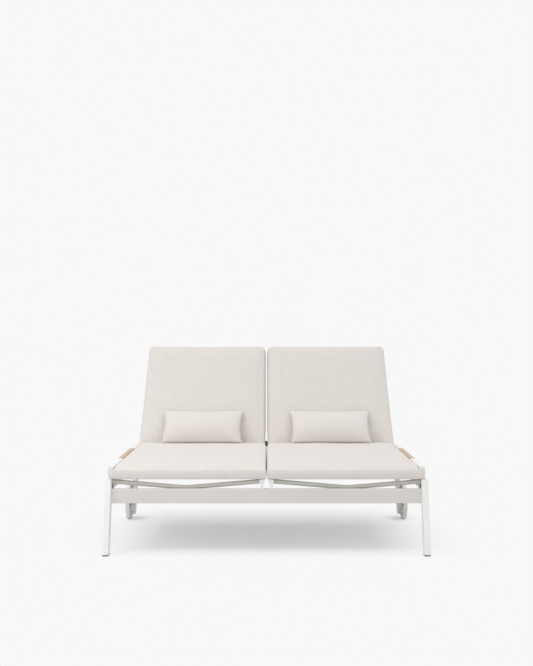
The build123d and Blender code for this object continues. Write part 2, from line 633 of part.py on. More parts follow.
def pieces_of_a_side():
    """Every piece that has a twin on the other side, for the right side."""
    prop_frame = BACK_FRAME * Pos(0, PROP_LENGTH, 0) * Rot(X=-2 * REST_ANGLE)
    return {
        "front_leg": [front_leg()],
        "rear_leg": [rear_leg()],
        "side_rail": [side_rail()],
        "inner_rail": [inner_rail()],
        "arm": [arm()],
        "teak_insert": [teak_insert()],
        "front_spreader": [spreader(FRONT_SPREADER_PLACE, LEG_INNER, FRAME_TOP, FRONT_SPREADER_DROP)],
        "middle_spreader": [spreader(MIDDLE_SPREADER_PLACE, FRAME_INNER_HALF,
                                     FRAME_TOP - SLING_THICKNESS - SEAT_CLEARANCE, MIDDLE_SPREADER_DROP)],
        "seat_sling": [seat_sling()],
        "seat_cushion": [seat_cushion()],
        "racks": pair_on_chaise(rack()),
        "back_inner_tube": [BACK_FRAME * back_inner_tube()],
        "back_outer_tube": [BACK_FRAME * back_outer_tube()],
        "back_bottom_tube": [BACK_FRAME * back_cross_tube(0)],
        "back_middle_tube": [BACK_FRAME * back_cross_tube(MIDDLE_TUBE_PLACE)],
        "back_top_tube": [BACK_FRAME * back_cross_tube(BACK_FRAME_LENGTH - BACK_TUBE / 2)],
        "back_sling": [BACK_FRAME * back_sling()],
        "back_cushion": [BACK_FRAME * back_cushion()],
        "pillow": [pillow()],
        "prop_lugs": [BACK_FRAME * lug for lug in pair_on_chaise(prop_lug())],
        "prop_arms": [prop_frame * piece for piece in pair_on_chaise(prop_arm())],
        "prop_foot_bar": [prop_frame * foot_bar()],
        "wheel": [wheel()],
        "tyre": [tyre()],
        "hub_cap": [hub_cap()],
    }


def shared_pieces():
    """The pieces that cross the lounger, and the small ones kept as sets."""
    right_sets = {
        "front_glides": [front_glide()],
        "front_centre_posts": [centre_post(FRONT_RAIL_SETBACK, FRONT_RAIL_TOP)],
        "end_caps": end_caps(),
        "hinge_bolts": hinge_bolts(),
        "axle_bolts": [axle_bolt()],
    }
    sets = {name: pieces + [mirror(piece, about=Plane.YZ) for piece in pieces]
            for name, pieces in right_sets.items()}
    sets["front_rail"] = [front_rail()]
    sets["rear_rail"] = [rear_rail()]
    sets["end_rail"] = [end_rail()]
    sets["end_bracket"] = [end_bracket()]
    return sets


def write_piece(name, pieces):
    """Write one node's solids, with Y measured from the middle of the whole length."""
    solids = [solid for piece in pieces for solid in (Pos(0, -CENTRE_PLACE, 0) * piece).solids()]
    shape = solids[0] if len(solids) == 1 else Compound(children=solids)
    export_step(shape, f"parts/{name}.step")


os.makedirs("parts", exist_ok=True)
for piece_name, piece_solids in pieces_of_a_side().items():
    write_piece(f"right_{piece_name}", piece_solids)
    write_piece(f"left_{piece_name}", [mirror(piece, about=Plane.YZ) for piece in piece_solids])
for piece_name, piece_solids in shared_pieces().items():
    write_piece(piece_name, piece_solids)
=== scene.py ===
"""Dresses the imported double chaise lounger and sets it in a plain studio.

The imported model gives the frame, the wheels and the moving parts. This script gives them their
finishes, makes the cushions, pillows and slings as soft pieces, and adds the welds, stitches and
tread that the model leaves out. Lengths are in metres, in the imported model's own frame.
"""

import logging
import math
from collections.abc import Callable, Iterable, Iterator, Sequence
from dataclasses import dataclass
from enum import Enum
from typing import Any

import bpy
from mathutils import Matrix, Vector, noise


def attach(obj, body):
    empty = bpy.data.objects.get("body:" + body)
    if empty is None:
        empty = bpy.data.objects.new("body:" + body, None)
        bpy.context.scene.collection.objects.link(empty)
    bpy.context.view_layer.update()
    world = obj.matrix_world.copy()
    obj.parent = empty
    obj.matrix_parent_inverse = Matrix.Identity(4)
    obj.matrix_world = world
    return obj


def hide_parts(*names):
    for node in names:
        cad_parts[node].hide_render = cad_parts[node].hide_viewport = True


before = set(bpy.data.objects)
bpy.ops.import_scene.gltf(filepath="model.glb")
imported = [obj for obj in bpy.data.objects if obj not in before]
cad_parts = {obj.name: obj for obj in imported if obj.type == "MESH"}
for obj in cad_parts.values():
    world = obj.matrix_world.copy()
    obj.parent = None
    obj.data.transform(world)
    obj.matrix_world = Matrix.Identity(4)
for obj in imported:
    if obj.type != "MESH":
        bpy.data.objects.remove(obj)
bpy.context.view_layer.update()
log = logging.getLogger("lounger")

Colour = tuple[float, float, float, float]
Point = tuple[float, float, float]
Face = tuple[int, ...]
Grid = list[list[int]]

FRONT = -0.968
"""Where the front edge of the front feet stands along Y."""

HINGE = (0.0, 1.277 + FRONT, 0.338)
"""Where the backs turn."""

RECLINE = 49.6
"""How steeply the backs stand, in degrees."""

WHITE = (1.0, 1.0, 1.0, 1.0)


def linear(red: float, green: float, blue: float) -> Colour:
    """Turns a screen colour into the linear one that a shader takes.

    Args:
        red: Red, from 0 to 255.
        green: Green, from 0 to 255.
        blue: Blue, from 0 to 255.

    Returns:
        The linear colour, with an alpha of 1.
    """

    def channel(value: float) -> float:
        """Linearises one channel."""
        share = value / 255
        return share / 12.92 if share <= 0.04045 else ((share + 0.055) / 1.055) ** 2.4

    return channel(red), channel(green), channel(blue), 1.0


def darker(colour: Colour, share: float) -> Colour:
    """A colour with only that share of its light."""
    return tuple(part * share for part in colour[:3]) + (1.0,)


class Side(Enum):
    """The two chaises, as someone at the foot end sees them."""

    LEFT = -1
    RIGHT = 1

    def node(self, piece: str) -> str:
        """The name of this side's node of a piece."""
        return f"{self.name.lower()}_{piece}"

    def mirror(self) -> Matrix:
        """The matrix that takes a piece of the right side to this one."""
        return Matrix.Scale(self.value, 4, (1, 0, 0))


BodyOf = Callable[[Side], str]


def base_body(side: Side) -> str:
    """The body that carries the seats of both sides."""
    return "base"


def back_body(side: Side) -> str:
    """The body of this side's back."""
    return side.node("back")


def operator(operation: str, turned: bool = False) -> Callable[["Signal", Any], "Signal"]:
    """Makes the method behind one of a signal's operators.

    Args:
        operation: What its Math node works out.
        turned: Whether the signal is the second of the two, as in 1 - signal.

    Returns:
        The method.
    """

    def method(signal: "Signal", other: Any) -> "Signal":
        """Works the operation out on a signal and a number or another signal."""
        pair = (other, signal) if turned else (signal, other)
        return signal.graph.maths(operation, *pair)

    return method


@dataclass(frozen=True)
class Signal:
    """An output of a node that takes part in arithmetic."""

    graph: "Graph"
    socket: bpy.types.NodeSocket

    __add__ = __radd__ = operator("ADD")
    __mul__ = __rmul__ = operator("MULTIPLY")
    __sub__ = operator("SUBTRACT")
    __rsub__ = operator("SUBTRACT", turned=True)
    __pow__ = operator("POWER")


class Graph:
    """A node tree, built node by node."""

    def __init__(self, tree: bpy.types.NodeTree) -> None:
        """Takes a tree and empties it."""
        self.tree = tree
        tree.nodes.clear()

    def node(
        self,
        kind: str,
        settings: dict[str, Any] | None = None,
        sockets: dict[str, Any] | None = None,
    ) -> bpy.types.Node:
        """Adds a node.

        Args:
            kind: The node's type.
            settings: Its properties, set first.
            sockets: Values or signals of its inputs, by identifier or name.

        Returns:
            The new node.
        """
        made = self.tree.nodes.new(kind)
        for name, value in (settings or {}).items():
            setattr(made, name, value)
        for name, value in (sockets or {}).items():
            found = [s for s in made.inputs if s.identifier == name]
            found += [s for s in made.inputs if s.name == name]
            if isinstance(value, Signal):
                self.tree.links.new(value.socket, found[0])
            else:
                found[0].default_value = value
        return made

    def out(
        self,
        kind: str,
        settings: dict[str, Any] | None = None,
        sockets: dict[str, Any] | None = None,
        **more: Any,
    ) -> Signal:
        """Adds a node and gives its first output.

        Args:
            kind: The node's type.
            settings: Its properties, set first.
            sockets: Values or signals of its inputs.
            more: The same, for inputs whose names hold no space.

        Returns:
            The first output.
        """
        return Signal(self, self.node(kind, settings, (sockets or {}) | more).outputs[0])

    def maths(self, operation: str, first: Any, second: Any = 0.0, clamp: bool = False) -> Signal:
        """Adds a Math node.

        Args:
            operation: What it works out.
            first: The first number or signal.
            second: The second number or signal.
            clamp: Whether the result stays from 0 to 1.

        Returns:
            The result.
        """
        settings = {"operation": operation, "use_clamp": clamp}
        return self.out("ShaderNodeMath", settings, Value=first, Value_001=second)


class Shader(Graph):
    """The node tree of a material or of the world."""

    def __init__(self, owner: bpy.types.Material | bpy.types.World) -> None:
        """Starts the owner's tree afresh.

        Args:
            owner: The material, or the world.
        """
        owner.use_nodes = True
        super().__init__(owner.node_tree)
        self.owner = owner

    def split(self, vector: Signal) -> tuple[Signal, Signal, Signal]:
        """A vector's three parts."""
        node = self.node("ShaderNodeSeparateXYZ", sockets={"Vector": vector})
        return tuple(Signal(self, output) for output in node.outputs)

    def scaled(self, vector: Signal, scale: Point) -> Signal:
        """A vector with each part multiplied."""
        return self.out("ShaderNodeMapping", Vector=vector, Scale=scale)

    def noise(
        self, vector: Signal, scale: float, detail: float = 2.0, roughness: float = 0.5
    ) -> Signal:
        """Soft noise from 0 to 1 over a vector.

        Args:
            vector: Where to read it.
            scale: How fine it is.
            detail: How many finer layers it has.
            roughness: How strong these are.

        Returns:
            The noise.
        """
        return self.out(
            "ShaderNodeTexNoise", Vector=vector, Scale=scale, Detail=detail, Roughness=roughness
        )

    def blend(self, factor: Any, first: Any, second: Any) -> Signal:
        """A mix of two colours, with factor as the share of the second."""
        sockets = {"Factor_Float": factor, "A_Color": first, "B_Color": second}
        return Signal(self, self.node("ShaderNodeMix", {"data_type": "RGBA"}, sockets).outputs[2])

    def span(self, value: Signal, low: float, high: float) -> Signal:
        """A signal stretched so that low becomes 0 and high becomes 1."""
        limits = {"From Min": low, "From Max": high}
        return self.out("ShaderNodeMapRange", {"clamp": True}, limits, Value=value)

    def coordinates(self, output: str = "Object") -> Signal:
        """The piece's own coordinates, or its weave map."""
        return Signal(self, self.node("ShaderNodeTexCoord").outputs[output])

    def bump(self, height: Signal, depth: float, strength: float) -> Signal:
        """A normal raised by a height that is depth metres at 1."""
        return self.out("ShaderNodeBump", Height=height, Distance=depth, Strength=strength)

    def mix(self, factor: Signal, first: Signal, second: Signal) -> Signal:
        """A mix of two surface shaders, with factor as the share of the second."""
        return self.out("ShaderNodeMixShader", Fac=factor, Shader=first, Shader_001=second)

    def surface(self, surface: Signal) -> None:
        """Ends the tree in a surface."""
        kind = type(self.owner).__name__
        self.node(f"ShaderNodeOutput{kind}", sockets={"Surface": surface})


@dataclass(frozen=True)
class Finish:
    """A finish of the lounger, whose kind says what feeds the surface shader."""

    name: str
    colour: Colour

    def sockets(self, shader: Shader) -> dict[str, Any]:
        """Values and signals of the surface shader's inputs."""
        raise NotImplementedError

    def material(self) -> bpy.types.Material:
        """Builds the finish.

        Returns:
            The material.
        """
        shader = Shader(bpy.data.materials.new(self.name))
        shader.surface(shader.out("ShaderNodeBsdfPrincipled", {}, self.sockets(shader)))
        return shader.owner


@dataclass(frozen=True)
class PowderCoat(Finish):
    """Fine-textured powder coat on aluminium."""

    roughness: float = 0.42
    grain: float = 900.0
    relief: float = 0.00012
    patches: float = 6.0
    dimmed: float = 0.955

    def sockets(self, shader: Shader) -> dict[str, Any]:
        """A fine orange peel, and a faint unevenness of tone and gloss.

        Args:
            shader: The material's shader.

        Returns:
            Values and signals of the surface shader's inputs.
        """
        place = shader.coordinates()
        peel = shader.noise(place, self.grain, 2.0, 0.55)
        cloud = shader.noise(place, self.patches, 3.0)
        shade = darker(self.colour, self.dimmed)
        return {
            "Base Color": shader.blend(shader.span(cloud, 0.35, 0.7), self.colour, shade),
            "Roughness": self.roughness - 0.05 + cloud * 0.1,
            "Normal": shader.bump(peel, self.relief, 0.6),
            "Specular IOR Level": 0.45,
        }


@dataclass(frozen=True)
class MouldedPlastic(Finish):
    """A moulded plastic with a fine spark-eroded grain, and grooves at a spacing along X."""

    roughness: float = 0.5
    grain: float = 1400.0
    groove: float = 0.0
    patches: float = 18.0
    dimmed: float = 0.9
    relief: float = 0.0001
    groove_relief: float = 0.001

    def sockets(self, shader: Shader) -> dict[str, Any]:
        """A fine grain, faint patches, and the grooves if it has any.

        Args:
            shader: The material's shader.

        Returns:
            Values and signals of the surface shader's inputs.
        """
        place = shader.coordinates()
        grain = shader.noise(place, self.grain, 1.0)
        height, depth = grain, self.relief
        if self.groove:
            wave = shader.maths("SINE", shader.split(place)[0] * (math.tau / self.groove))
            height, depth = grain * 0.1 + shader.span(wave, -0.95, -0.4), self.groove_relief
        cloud = shader.noise(place, self.patches, 3.0)
        dull = darker(self.colour, self.dimmed)
        return {
            "Base Color": shader.blend(shader.span(cloud, 0.4, 0.75), self.colour, dull),
            "Roughness": self.roughness + grain * 0.1,
            "Normal": shader.bump(height, depth, 0.5),
        }


@dataclass(frozen=True)
class BrushedSteel(Finish):
    """Stainless steel with turned or drawn marks along X."""

    marks: Point = (40.0, 900.0, 900.0)
    relief: float = 0.00005

    def sockets(self, shader: Shader) -> dict[str, Any]:
        """A metal whose marks show in its gloss and relief.

        Args:
            shader: The material's shader.

        Returns:
            Values and signals of the surface shader's inputs.
        """
        marks = shader.noise(shader.scaled(shader.coordinates(), self.marks), 1.0, 3.0)
        return {
            "Base Color": self.colour,
            "Metallic": 1.0,
            "Roughness": 0.24 + marks * 0.2,
            "Normal": shader.bump(marks, self.relief, 0.5),
        }


@dataclass(frozen=True)
class OiledTeak(Finish):
    """Pale teak whose grain runs along Y."""

    deep: Colour
    drift: Point = (9.0, 1.6, 9.0)
    fibres: Point = (700.0, 14.0, 700.0)
    pores: Point = (1500.0, 60.0, 1500.0)
    rings: float = 900.0
    relief: float = 0.0003

    def sockets(self, shader: Shader) -> dict[str, Any]:
        """Growth bands, fine fibres and short open pores.

        Args:
            shader: The material's shader.

        Returns:
            Values and signals of the surface shader's inputs.
        """
        place = shader.coordinates()
        drift = shader.noise(shader.scaled(place, self.drift), 1.0, 2.0)
        across, _, up = shader.split(place)
        rings = shader.maths("SINE", (across * 1.2 + up * 0.9 + drift * 0.05) * self.rings)
        fibre = shader.noise(shader.scaled(place, self.fibres), 1.0, 3.0)
        pores = shader.noise(shader.scaled(place, self.pores), 1.0, 1.0)
        pores = shader.span(pores, 0.62, 0.72)
        tone = shader.maths("ADD", rings * 0.22 + 0.28, fibre * 0.5, clamp=True)
        colour = shader.blend(tone, self.colour, self.deep)
        return {
            "Base Color": shader.blend(pores * 0.5, colour, darker(self.deep, 0.55)),
            "Roughness": 0.5 + fibre * 0.15,
            "Normal": shader.bump(fibre - pores * 0.8, self.relief, 0.6),
        }


@dataclass(frozen=True)
class WovenCover(Finish):
    """A plain-woven outdoor cloth of slightly uneven, two-tone yarn."""

    deep: Colour
    yarn: float = 0.0011
    relief: float = 0.00022
    warp: Point = (620.0, 55.0, 1.0)
    weft: Point = (55.0, 620.0, 1.0)
    patches: float = 26.0

    def sockets(self, shader: Shader) -> dict[str, Any]:
        """The weave, its slubs and faint patches, on the piece's weave map in metres.

        Args:
            shader: The material's shader.

        Returns:
            Values and signals of the surface shader's inputs.
        """
        weave = shader.coordinates("UV")
        across, along, _ = shader.split(weave)
        turn = math.tau / self.yarn / 2
        crossing = shader.maths("SINE", across * turn) * shader.maths("SINE", along * turn)
        warp = shader.noise(shader.scaled(weave, self.warp), 1.0, 2.0)
        weft = shader.noise(shader.scaled(weave, self.weft), 1.0, 2.0)
        slub = shader.span((warp + weft) * 0.5, 0.36, 0.64)
        cloud = shader.span(shader.noise(weave, self.patches, 4.0, 0.6), 0.3, 0.7)
        hollow = crossing * crossing
        tone = slub * 0.5 + cloud * 0.3
        tone = shader.maths("ADD", tone, (1.0 - hollow) * 0.2, clamp=True)
        return {
            "Base Color": shader.blend(tone, self.colour, self.deep),
            "Roughness": 0.82 + slub * 0.1,
            "Sheen Weight": 0.12,
            "Sheen Roughness": 0.6,
            "Specular IOR Level": 0.25,
            "Normal": shader.bump(hollow + slub * 0.6, self.relief, 0.8),
        }


@dataclass(frozen=True)
class SlingMesh(Finish):
    """Coated-yarn sling cloth in a basket weave with pinholes between the yarns."""

    deep: Colour
    yarn: float = 0.0016
    relief: float = 0.0004
    patches: float = 30.0

    def sockets(self, shader: Shader) -> dict[str, Any]:
        """The yarns and their pinholes, on the piece's weave map.

        Args:
            shader: The material's shader.

        Returns:
            Values and signals of the surface shader's inputs.
        """
        weave = shader.coordinates("UV")
        across, along, _ = shader.split(weave)
        turn = math.tau / self.yarn / 2
        first, second = (
            shader.maths("ABSOLUTE", shader.maths("SINE", run * turn)) for run in (across, along)
        )
        ridge = shader.maths("MAXIMUM", first, second)
        pin = 1.0 - shader.span(ridge, 0.1, 0.45)
        cloud = shader.noise(weave, self.patches, 3.0)
        tone = shader.maths("ADD", pin, cloud * 0.3, clamp=True)
        return {
            "Base Color": shader.blend(tone, self.colour, self.deep),
            "Roughness": 0.55,
            "Normal": shader.bump(ridge, self.relief, 0.8),
        }


class Palette:
    """Every finish of the lounger, built once and shared."""

    def __init__(self) -> None:
        """Builds the materials."""
        cushion = linear(231, 226, 222), linear(216, 209, 204)
        pillow = linear(232, 227, 223), linear(217, 210, 205)
        tread, thread = linear(246, 243, 238), linear(236, 230, 222)
        finishes = {
            "frame": PowderCoat("white_powder_coat", linear(243, 242, 240)),
            # The front rail's coat is painted darker than the white frame, standing in for the
            # shade under the seat cushions.
            "frame_shade": PowderCoat("front_rail_painted_shade_coat", linear(222, 219, 214)),
            # The spreaders' coat is painted grey, standing in for the shade under the cushions'
            # front edge.
            "spreader": PowderCoat("spreader_painted_shade_coat", linear(200, 196, 190)),
            "cap": MouldedPlastic("white_cap_plastic", linear(240, 239, 237), 0.4),
            "glide": MouldedPlastic("grey_glide_plastic", linear(128, 126, 123)),
            # The end bracket's coat is painted dark grey, standing in for the deep shade in the
            # gap between the backs.
            "bracket": PowderCoat("bracket_painted_shade_coat", linear(88, 82, 76), 0.5),
            "steel": BrushedSteel("brushed_stainless", linear(200, 200, 198)),
            "teak": OiledTeak("oiled_teak", linear(222, 199, 174), linear(186, 152, 119)),
            "cushion": WovenCover("cushion_canvas", *cushion),
            "pillow": WovenCover("pillow_canvas", *pillow),
            "sling": SlingMesh("sling_cloth", linear(235, 233, 229), linear(165, 160, 154)),
            "wheel": MouldedPlastic("wheel_plastic", linear(242, 240, 236), 0.45),
            "tread": MouldedPlastic("tread_rubber", tread, 0.7, 900.0, groove=0.0045),
            "thread": MouldedPlastic("sewing_thread", thread, 0.7, 2600.0),
        }
        self.materials = {name: finish.material() for name, finish in finishes.items()}

    def __getitem__(self, finish: str) -> bpy.types.Material:
        """One finish's material."""
        return self.materials[finish]


def in_scene(name: str, data: bpy.types.ID) -> bpy.types.Object:
    """A new object of a mesh, lamp or camera, in the scene.

    Args:
        name: Its name.
        data: What it shows.

    Returns:
        The object.
    """
    made = bpy.data.objects.new(name, data)
    bpy.context.scene.collection.objects.link(made)
    return made


def mesh_of(
    name: str,
    points: Iterable[Sequence[float]],
    faces: Iterable[Face],
    edges: Iterable[Face] = (),
) -> bpy.types.Mesh:
    """A new mesh of points, faces and loose edges.

    Args:
        name: Its name.
        points: The points.
        faces: The points' numbers, face by face.
        edges: The same for loose edges.

    Returns:
        The mesh.
    """
    mesh = bpy.data.meshes.new(name)
    mesh.from_pydata([tuple(point) for point in points], list(edges), list(faces))
    mesh.update()
    return mesh


def lift(
    mesh: bpy.types.Mesh, name: str, material: bpy.types.Material, smooth: bool = True
) -> bpy.types.Object:
    """Makes a piece of a mesh that holds its own place.

    Args:
        mesh: The mesh.
        name: The new piece's name.
        material: Its finish.
        smooth: Whether its faces are shaded smooth.

    Returns:
        The piece.
    """
    mesh.materials.clear()
    mesh.materials.append(material)
    mesh.polygons.foreach_set("use_smooth", [smooth] * len(mesh.polygons))
    mesh.update()
    return in_scene(name, mesh)


def settle(piece: bpy.types.Object) -> None:
    """Turns a piece and its modifiers into a plain mesh on the same object.

    Args:
        piece: The piece.
    """
    bpy.context.view_layer.update()
    graph = bpy.context.evaluated_depsgraph_get()
    mesh = bpy.data.meshes.new_from_object(piece.evaluated_get(graph))
    piece.modifiers.clear()
    old, piece.data = piece.data, mesh
    bpy.data.meshes.remove(old)


def weave_map(piece: bpy.types.Object, flat: Matrix, top_bias: float = 1.25) -> None:
    """Gives a piece a weave map in metres, laid on each face from the side that it faces.

    Args:
        piece: The piece, with its place in its mesh.
        flat: The matrix that lays the piece flat.
        top_bias: How much sooner a slanting face takes the map of the top.
    """
    mesh = piece.data
    layer = mesh.uv_layers.new(name="weave")
    spots = [flat @ vertex.co for vertex in mesh.vertices]
    turn = flat.to_3x3()
    bias = (1.0, 1.0, top_bias)
    for face in mesh.polygons:
        normal = turn @ face.normal
        facing = max(range(3), key=lambda axis: abs(normal[axis]) * bias[axis])
        first, second = ((1, 2), (0, 2), (0, 1))[facing]
        for corner in face.loop_indices:
            spot = spots[mesh.loops[corner].vertex_index]
            layer.data[corner].uv = (spot[first], spot[second])


def carry(piece: bpy.types.Object, body: str) -> None:
    """Lets a body of the model carry a piece and reports it.

    Args:
        piece: The piece.
        body: The body's name.
    """
    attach(piece, body)
    log.info("%s rides %s, %d faces", piece.name, body, len(piece.data.polygons))


def border(grid: Grid) -> list[int]:
    """A grid's outer points in order, seen from above, anticlockwise.

    Args:
        grid: The points' numbers, row by row.

    Returns:
        The numbers of its outer points.
    """
    last = len(grid) - 1
    right = [grid[n][-1] for n in range(last)]
    left = [grid[n][0] for n in range(last, 0, -1)]
    return grid[0][:-1] + right + grid[-1][:0:-1] + left


def cells(grid: Grid) -> Iterator[Face]:
    """The faces between a grid's points, row by row, seen from above.

    Args:
        grid: The points' numbers, row by row.

    Returns:
        Four numbers for each face.
    """
    for low, high in zip(grid, grid[1:]):
        for n in range(len(low) - 1):
            yield low[n], low[n + 1], high[n + 1], high[n]


def band(low: Sequence[int], high: Sequence[int]) -> Iterator[Face]:
    """The faces between two rings of points.

    Args:
        low: The numbers of the first ring.
        high: The numbers of the second.

    Returns:
        Four numbers for each face.
    """
    count = len(low)
    for n in range(count):
        yield low[n], low[(n + 1) % count], high[(n + 1) % count], high[n]


class Repeat(Enum):
    """What is set along a path at even spacing."""

    BEAD = "bead"
    STITCH = "stitch"


@dataclass(frozen=True)
class PathRepeat:
    """A Geometry Nodes tree that sets one small shape along every path of a mesh of edges.

    Attributes:
        kind: The shape.
        spacing: The distance between two shapes.
        length: The shape's length along the path.
        thickness: Its thickness.
    """

    kind: Repeat
    spacing: float
    length: float
    thickness: float

    def shape(self, graph: Graph) -> Signal:
        """The shape, one unit long along X and one unit thick.

        Args:
            graph: The tree that it goes into.

        Returns:
            The shape.
        """
        if self.kind is Repeat.BEAD:
            return graph.out("GeometryNodeMeshIcoSphere", Radius=0.5, Subdivisions=1)
        sides = {"Side Segments": 2}
        pin = graph.out("GeometryNodeMeshCylinder", {}, sides, Vertices=5, Radius=0.5, Depth=1.0)
        lying = (0.0, math.pi / 2, 0.0)
        return graph.out("GeometryNodeTransform", Geometry=pin, Rotation=lying)

    def tree(self, material: bpy.types.Material, inputs: Iterable[str]) -> bpy.types.NodeTree:
        """Builds the tree, ending in Realize Instances and Set Material.

        Args:
            material: The shapes' finish.
            inputs: The names of its sizes, which are spacing, length and thickness.

        Returns:
            The tree.
        """
        name = f"{self.kind.value}_along_path"
        graph = Graph(bpy.data.node_groups.new(name, "GeometryNodeTree"))
        ends = graph.tree.interface
        ends.new_socket("Path", in_out="INPUT", socket_type="NodeSocketGeometry")
        for name in inputs:
            ends.new_socket(name, in_out="INPUT", socket_type="NodeSocketFloat")
        ends.new_socket("Row", in_out="OUTPUT", socket_type="NodeSocketGeometry")
        given = graph.node("NodeGroupInput").outputs
        path, spacing, length, thickness = (Signal(graph, given[n]) for n in range(4))
        curve = graph.out("GeometryNodeMeshToCurve", Mesh=path)
        by_length = {"mode": "LENGTH"}
        spots = graph.out("GeometryNodeResampleCurve", by_length, Curve=curve, Length=spacing)
        tangent, normal = (graph.out(f"GeometryNodeInput{way}") for way in ("Tangent", "Normal"))
        align = "FunctionNodeAlignRotationToVector"
        along = graph.out(align, {"axis": "X"}, Vector=tangent)
        upright = {"axis": "Z", "pivot_axis": "X"}
        turned = graph.out(align, upright, Rotation=along, Vector=normal)
        size = graph.out("ShaderNodeCombineXYZ", X=length, Y=thickness, Z=thickness)
        row = graph.out(
            "GeometryNodeInstanceOnPoints",
            Points=spots,
            Instance=self.shape(graph),
            Rotation=turned,
            Scale=size,
        )
        real = graph.out("GeometryNodeRealizeInstances", Geometry=row)
        finished = graph.out("GeometryNodeSetMaterial", Geometry=real, Material=material)
        graph.node("NodeGroupOutput", sockets={"Row": finished})
        return graph.tree

    def along(
        self,
        paths: Iterable[Sequence[Point]],
        name: str,
        material: bpy.types.Material,
    ) -> bpy.types.Object:
        """Sets the shape along closed paths.

        Args:
            paths: The points of each path.
            name: The new piece's name.
            material: Its finish.

        Returns:
            One piece with every shape, as a plain mesh.
        """
        points: list[Point] = []
        edges: list[Face] = []
        for path in paths:
            start = len(points)
            points += path
            edges += [(n, n + 1) for n in range(start, len(points) - 1)]
            edges.append((len(points) - 1, start))
        piece = in_scene(name, mesh_of(name, points, [], edges))
        sizes = {"Spacing": self.spacing, "Length": self.length, "Thickness": self.thickness}
        row = piece.modifiers.new("row", "NODES")
        row.node_group = self.tree(material, sizes)
        for item in row.node_group.interface.items_tree:
            if item.in_out == "INPUT" and item.name in sizes:
                row[item.identifier] = sizes[item.name]
        settle(piece)
        piece.data.polygons.foreach_set("use_smooth", [True] * len(piece.data.polygons))
        return piece


@dataclass(frozen=True)
class Weld:
    """Weld beads around both ends of a cross tube.

    Attributes:
        node: The tube's CAD node.
        end: How far from the middle it meets the next tube.
        low: The corner of its cross section in front and below.
        high: The corner behind and above.
        bead: The beads' spacing, length and thickness.
    """

    node: str
    end: float
    low: tuple[float, float]
    high: tuple[float, float]
    bead: Point = (0.0019, 0.0036, 0.0034)

    def make(self, palette: Palette) -> None:
        """Makes the beads.

        Args:
            palette: The finishes.
        """
        (front, base), (back, top) = self.low, self.high
        corners = (front, base), (back, base), (back, top), (front, top)
        rings = [[(x, *corner) for corner in corners] for x in (-self.end, self.end)]
        row = PathRepeat(Repeat.BEAD, *self.bead)
        carry(row.along(rings, f"{self.node}_welds", palette["frame"]), "base")


@dataclass(frozen=True)
class Stuffing:
    """How a cover is blown out by its filling.

    Attributes:
        cap: The most that a point may move.
        tension: How stiff the cloth is against stretching.
        bending: How stiff it is against bending.
        mass: How heavy each of its points is.
        pressure: The pressure inside.
        quality: How finely each step is worked out.
        frames: How many steps the cloth takes.
    """

    cap: float = 0.008
    tension: float = 15.0
    bending: float = 0.5
    mass: float = 0.3
    pressure: float = 4.0
    quality: int = 6
    frames: int = 20

    def fill(self, piece: bpy.types.Object, held: dict[int, float]) -> None:
        """Runs the cloth and keeps its result in the piece's mesh.

        Args:
            piece: The cover, as a closed mesh.
            held: How firmly each point is held, by its number.
        """
        before = [vertex.co.copy() for vertex in piece.data.vertices]
        group = piece.vertex_groups.new(name="held")
        for number, weight in held.items():
            group.add([number], weight, "REPLACE")
        cloth = piece.modifiers.new("cover", "CLOTH")
        settings = cloth.settings
        settings.quality = self.quality
        settings.mass = self.mass
        settings.use_pressure = True
        settings.uniform_pressure_force = self.pressure
        settings.tension_stiffness = settings.compression_stiffness = self.tension
        settings.shear_stiffness = self.tension / 2
        settings.bending_stiffness = self.bending
        settings.vertex_group_mass = group.name
        settings.effector_weights.gravity = 0.0
        cloth.collision_settings.use_collision = False
        cloth.point_cache.frame_start = 1
        cloth.point_cache.frame_end = self.frames
        scene = bpy.context.scene
        for step in range(1, self.frames + 1):
            scene.frame_set(step)
        graph = bpy.context.evaluated_depsgraph_get()
        after = [vertex.co.copy() for vertex in piece.evaluated_get(graph).data.vertices]
        piece.modifiers.clear()
        piece.vertex_groups.clear()
        scene.frame_set(1)
        for vertex, old, new in zip(piece.data.vertices, before, after):
            move = new - old
            if move.length > 1e-9:
                reach = self.cap * math.tanh(move.length / self.cap)
                vertex.co = old + move.normalized() * reach


def roll_over(distance: float, width: float) -> float:
    """The share of a panel's rise at a distance from its seam, where it rolls over a width."""
    left = 1 - min(distance / width, 1.0)
    return math.sqrt(max(0.0, 1 - left * left))


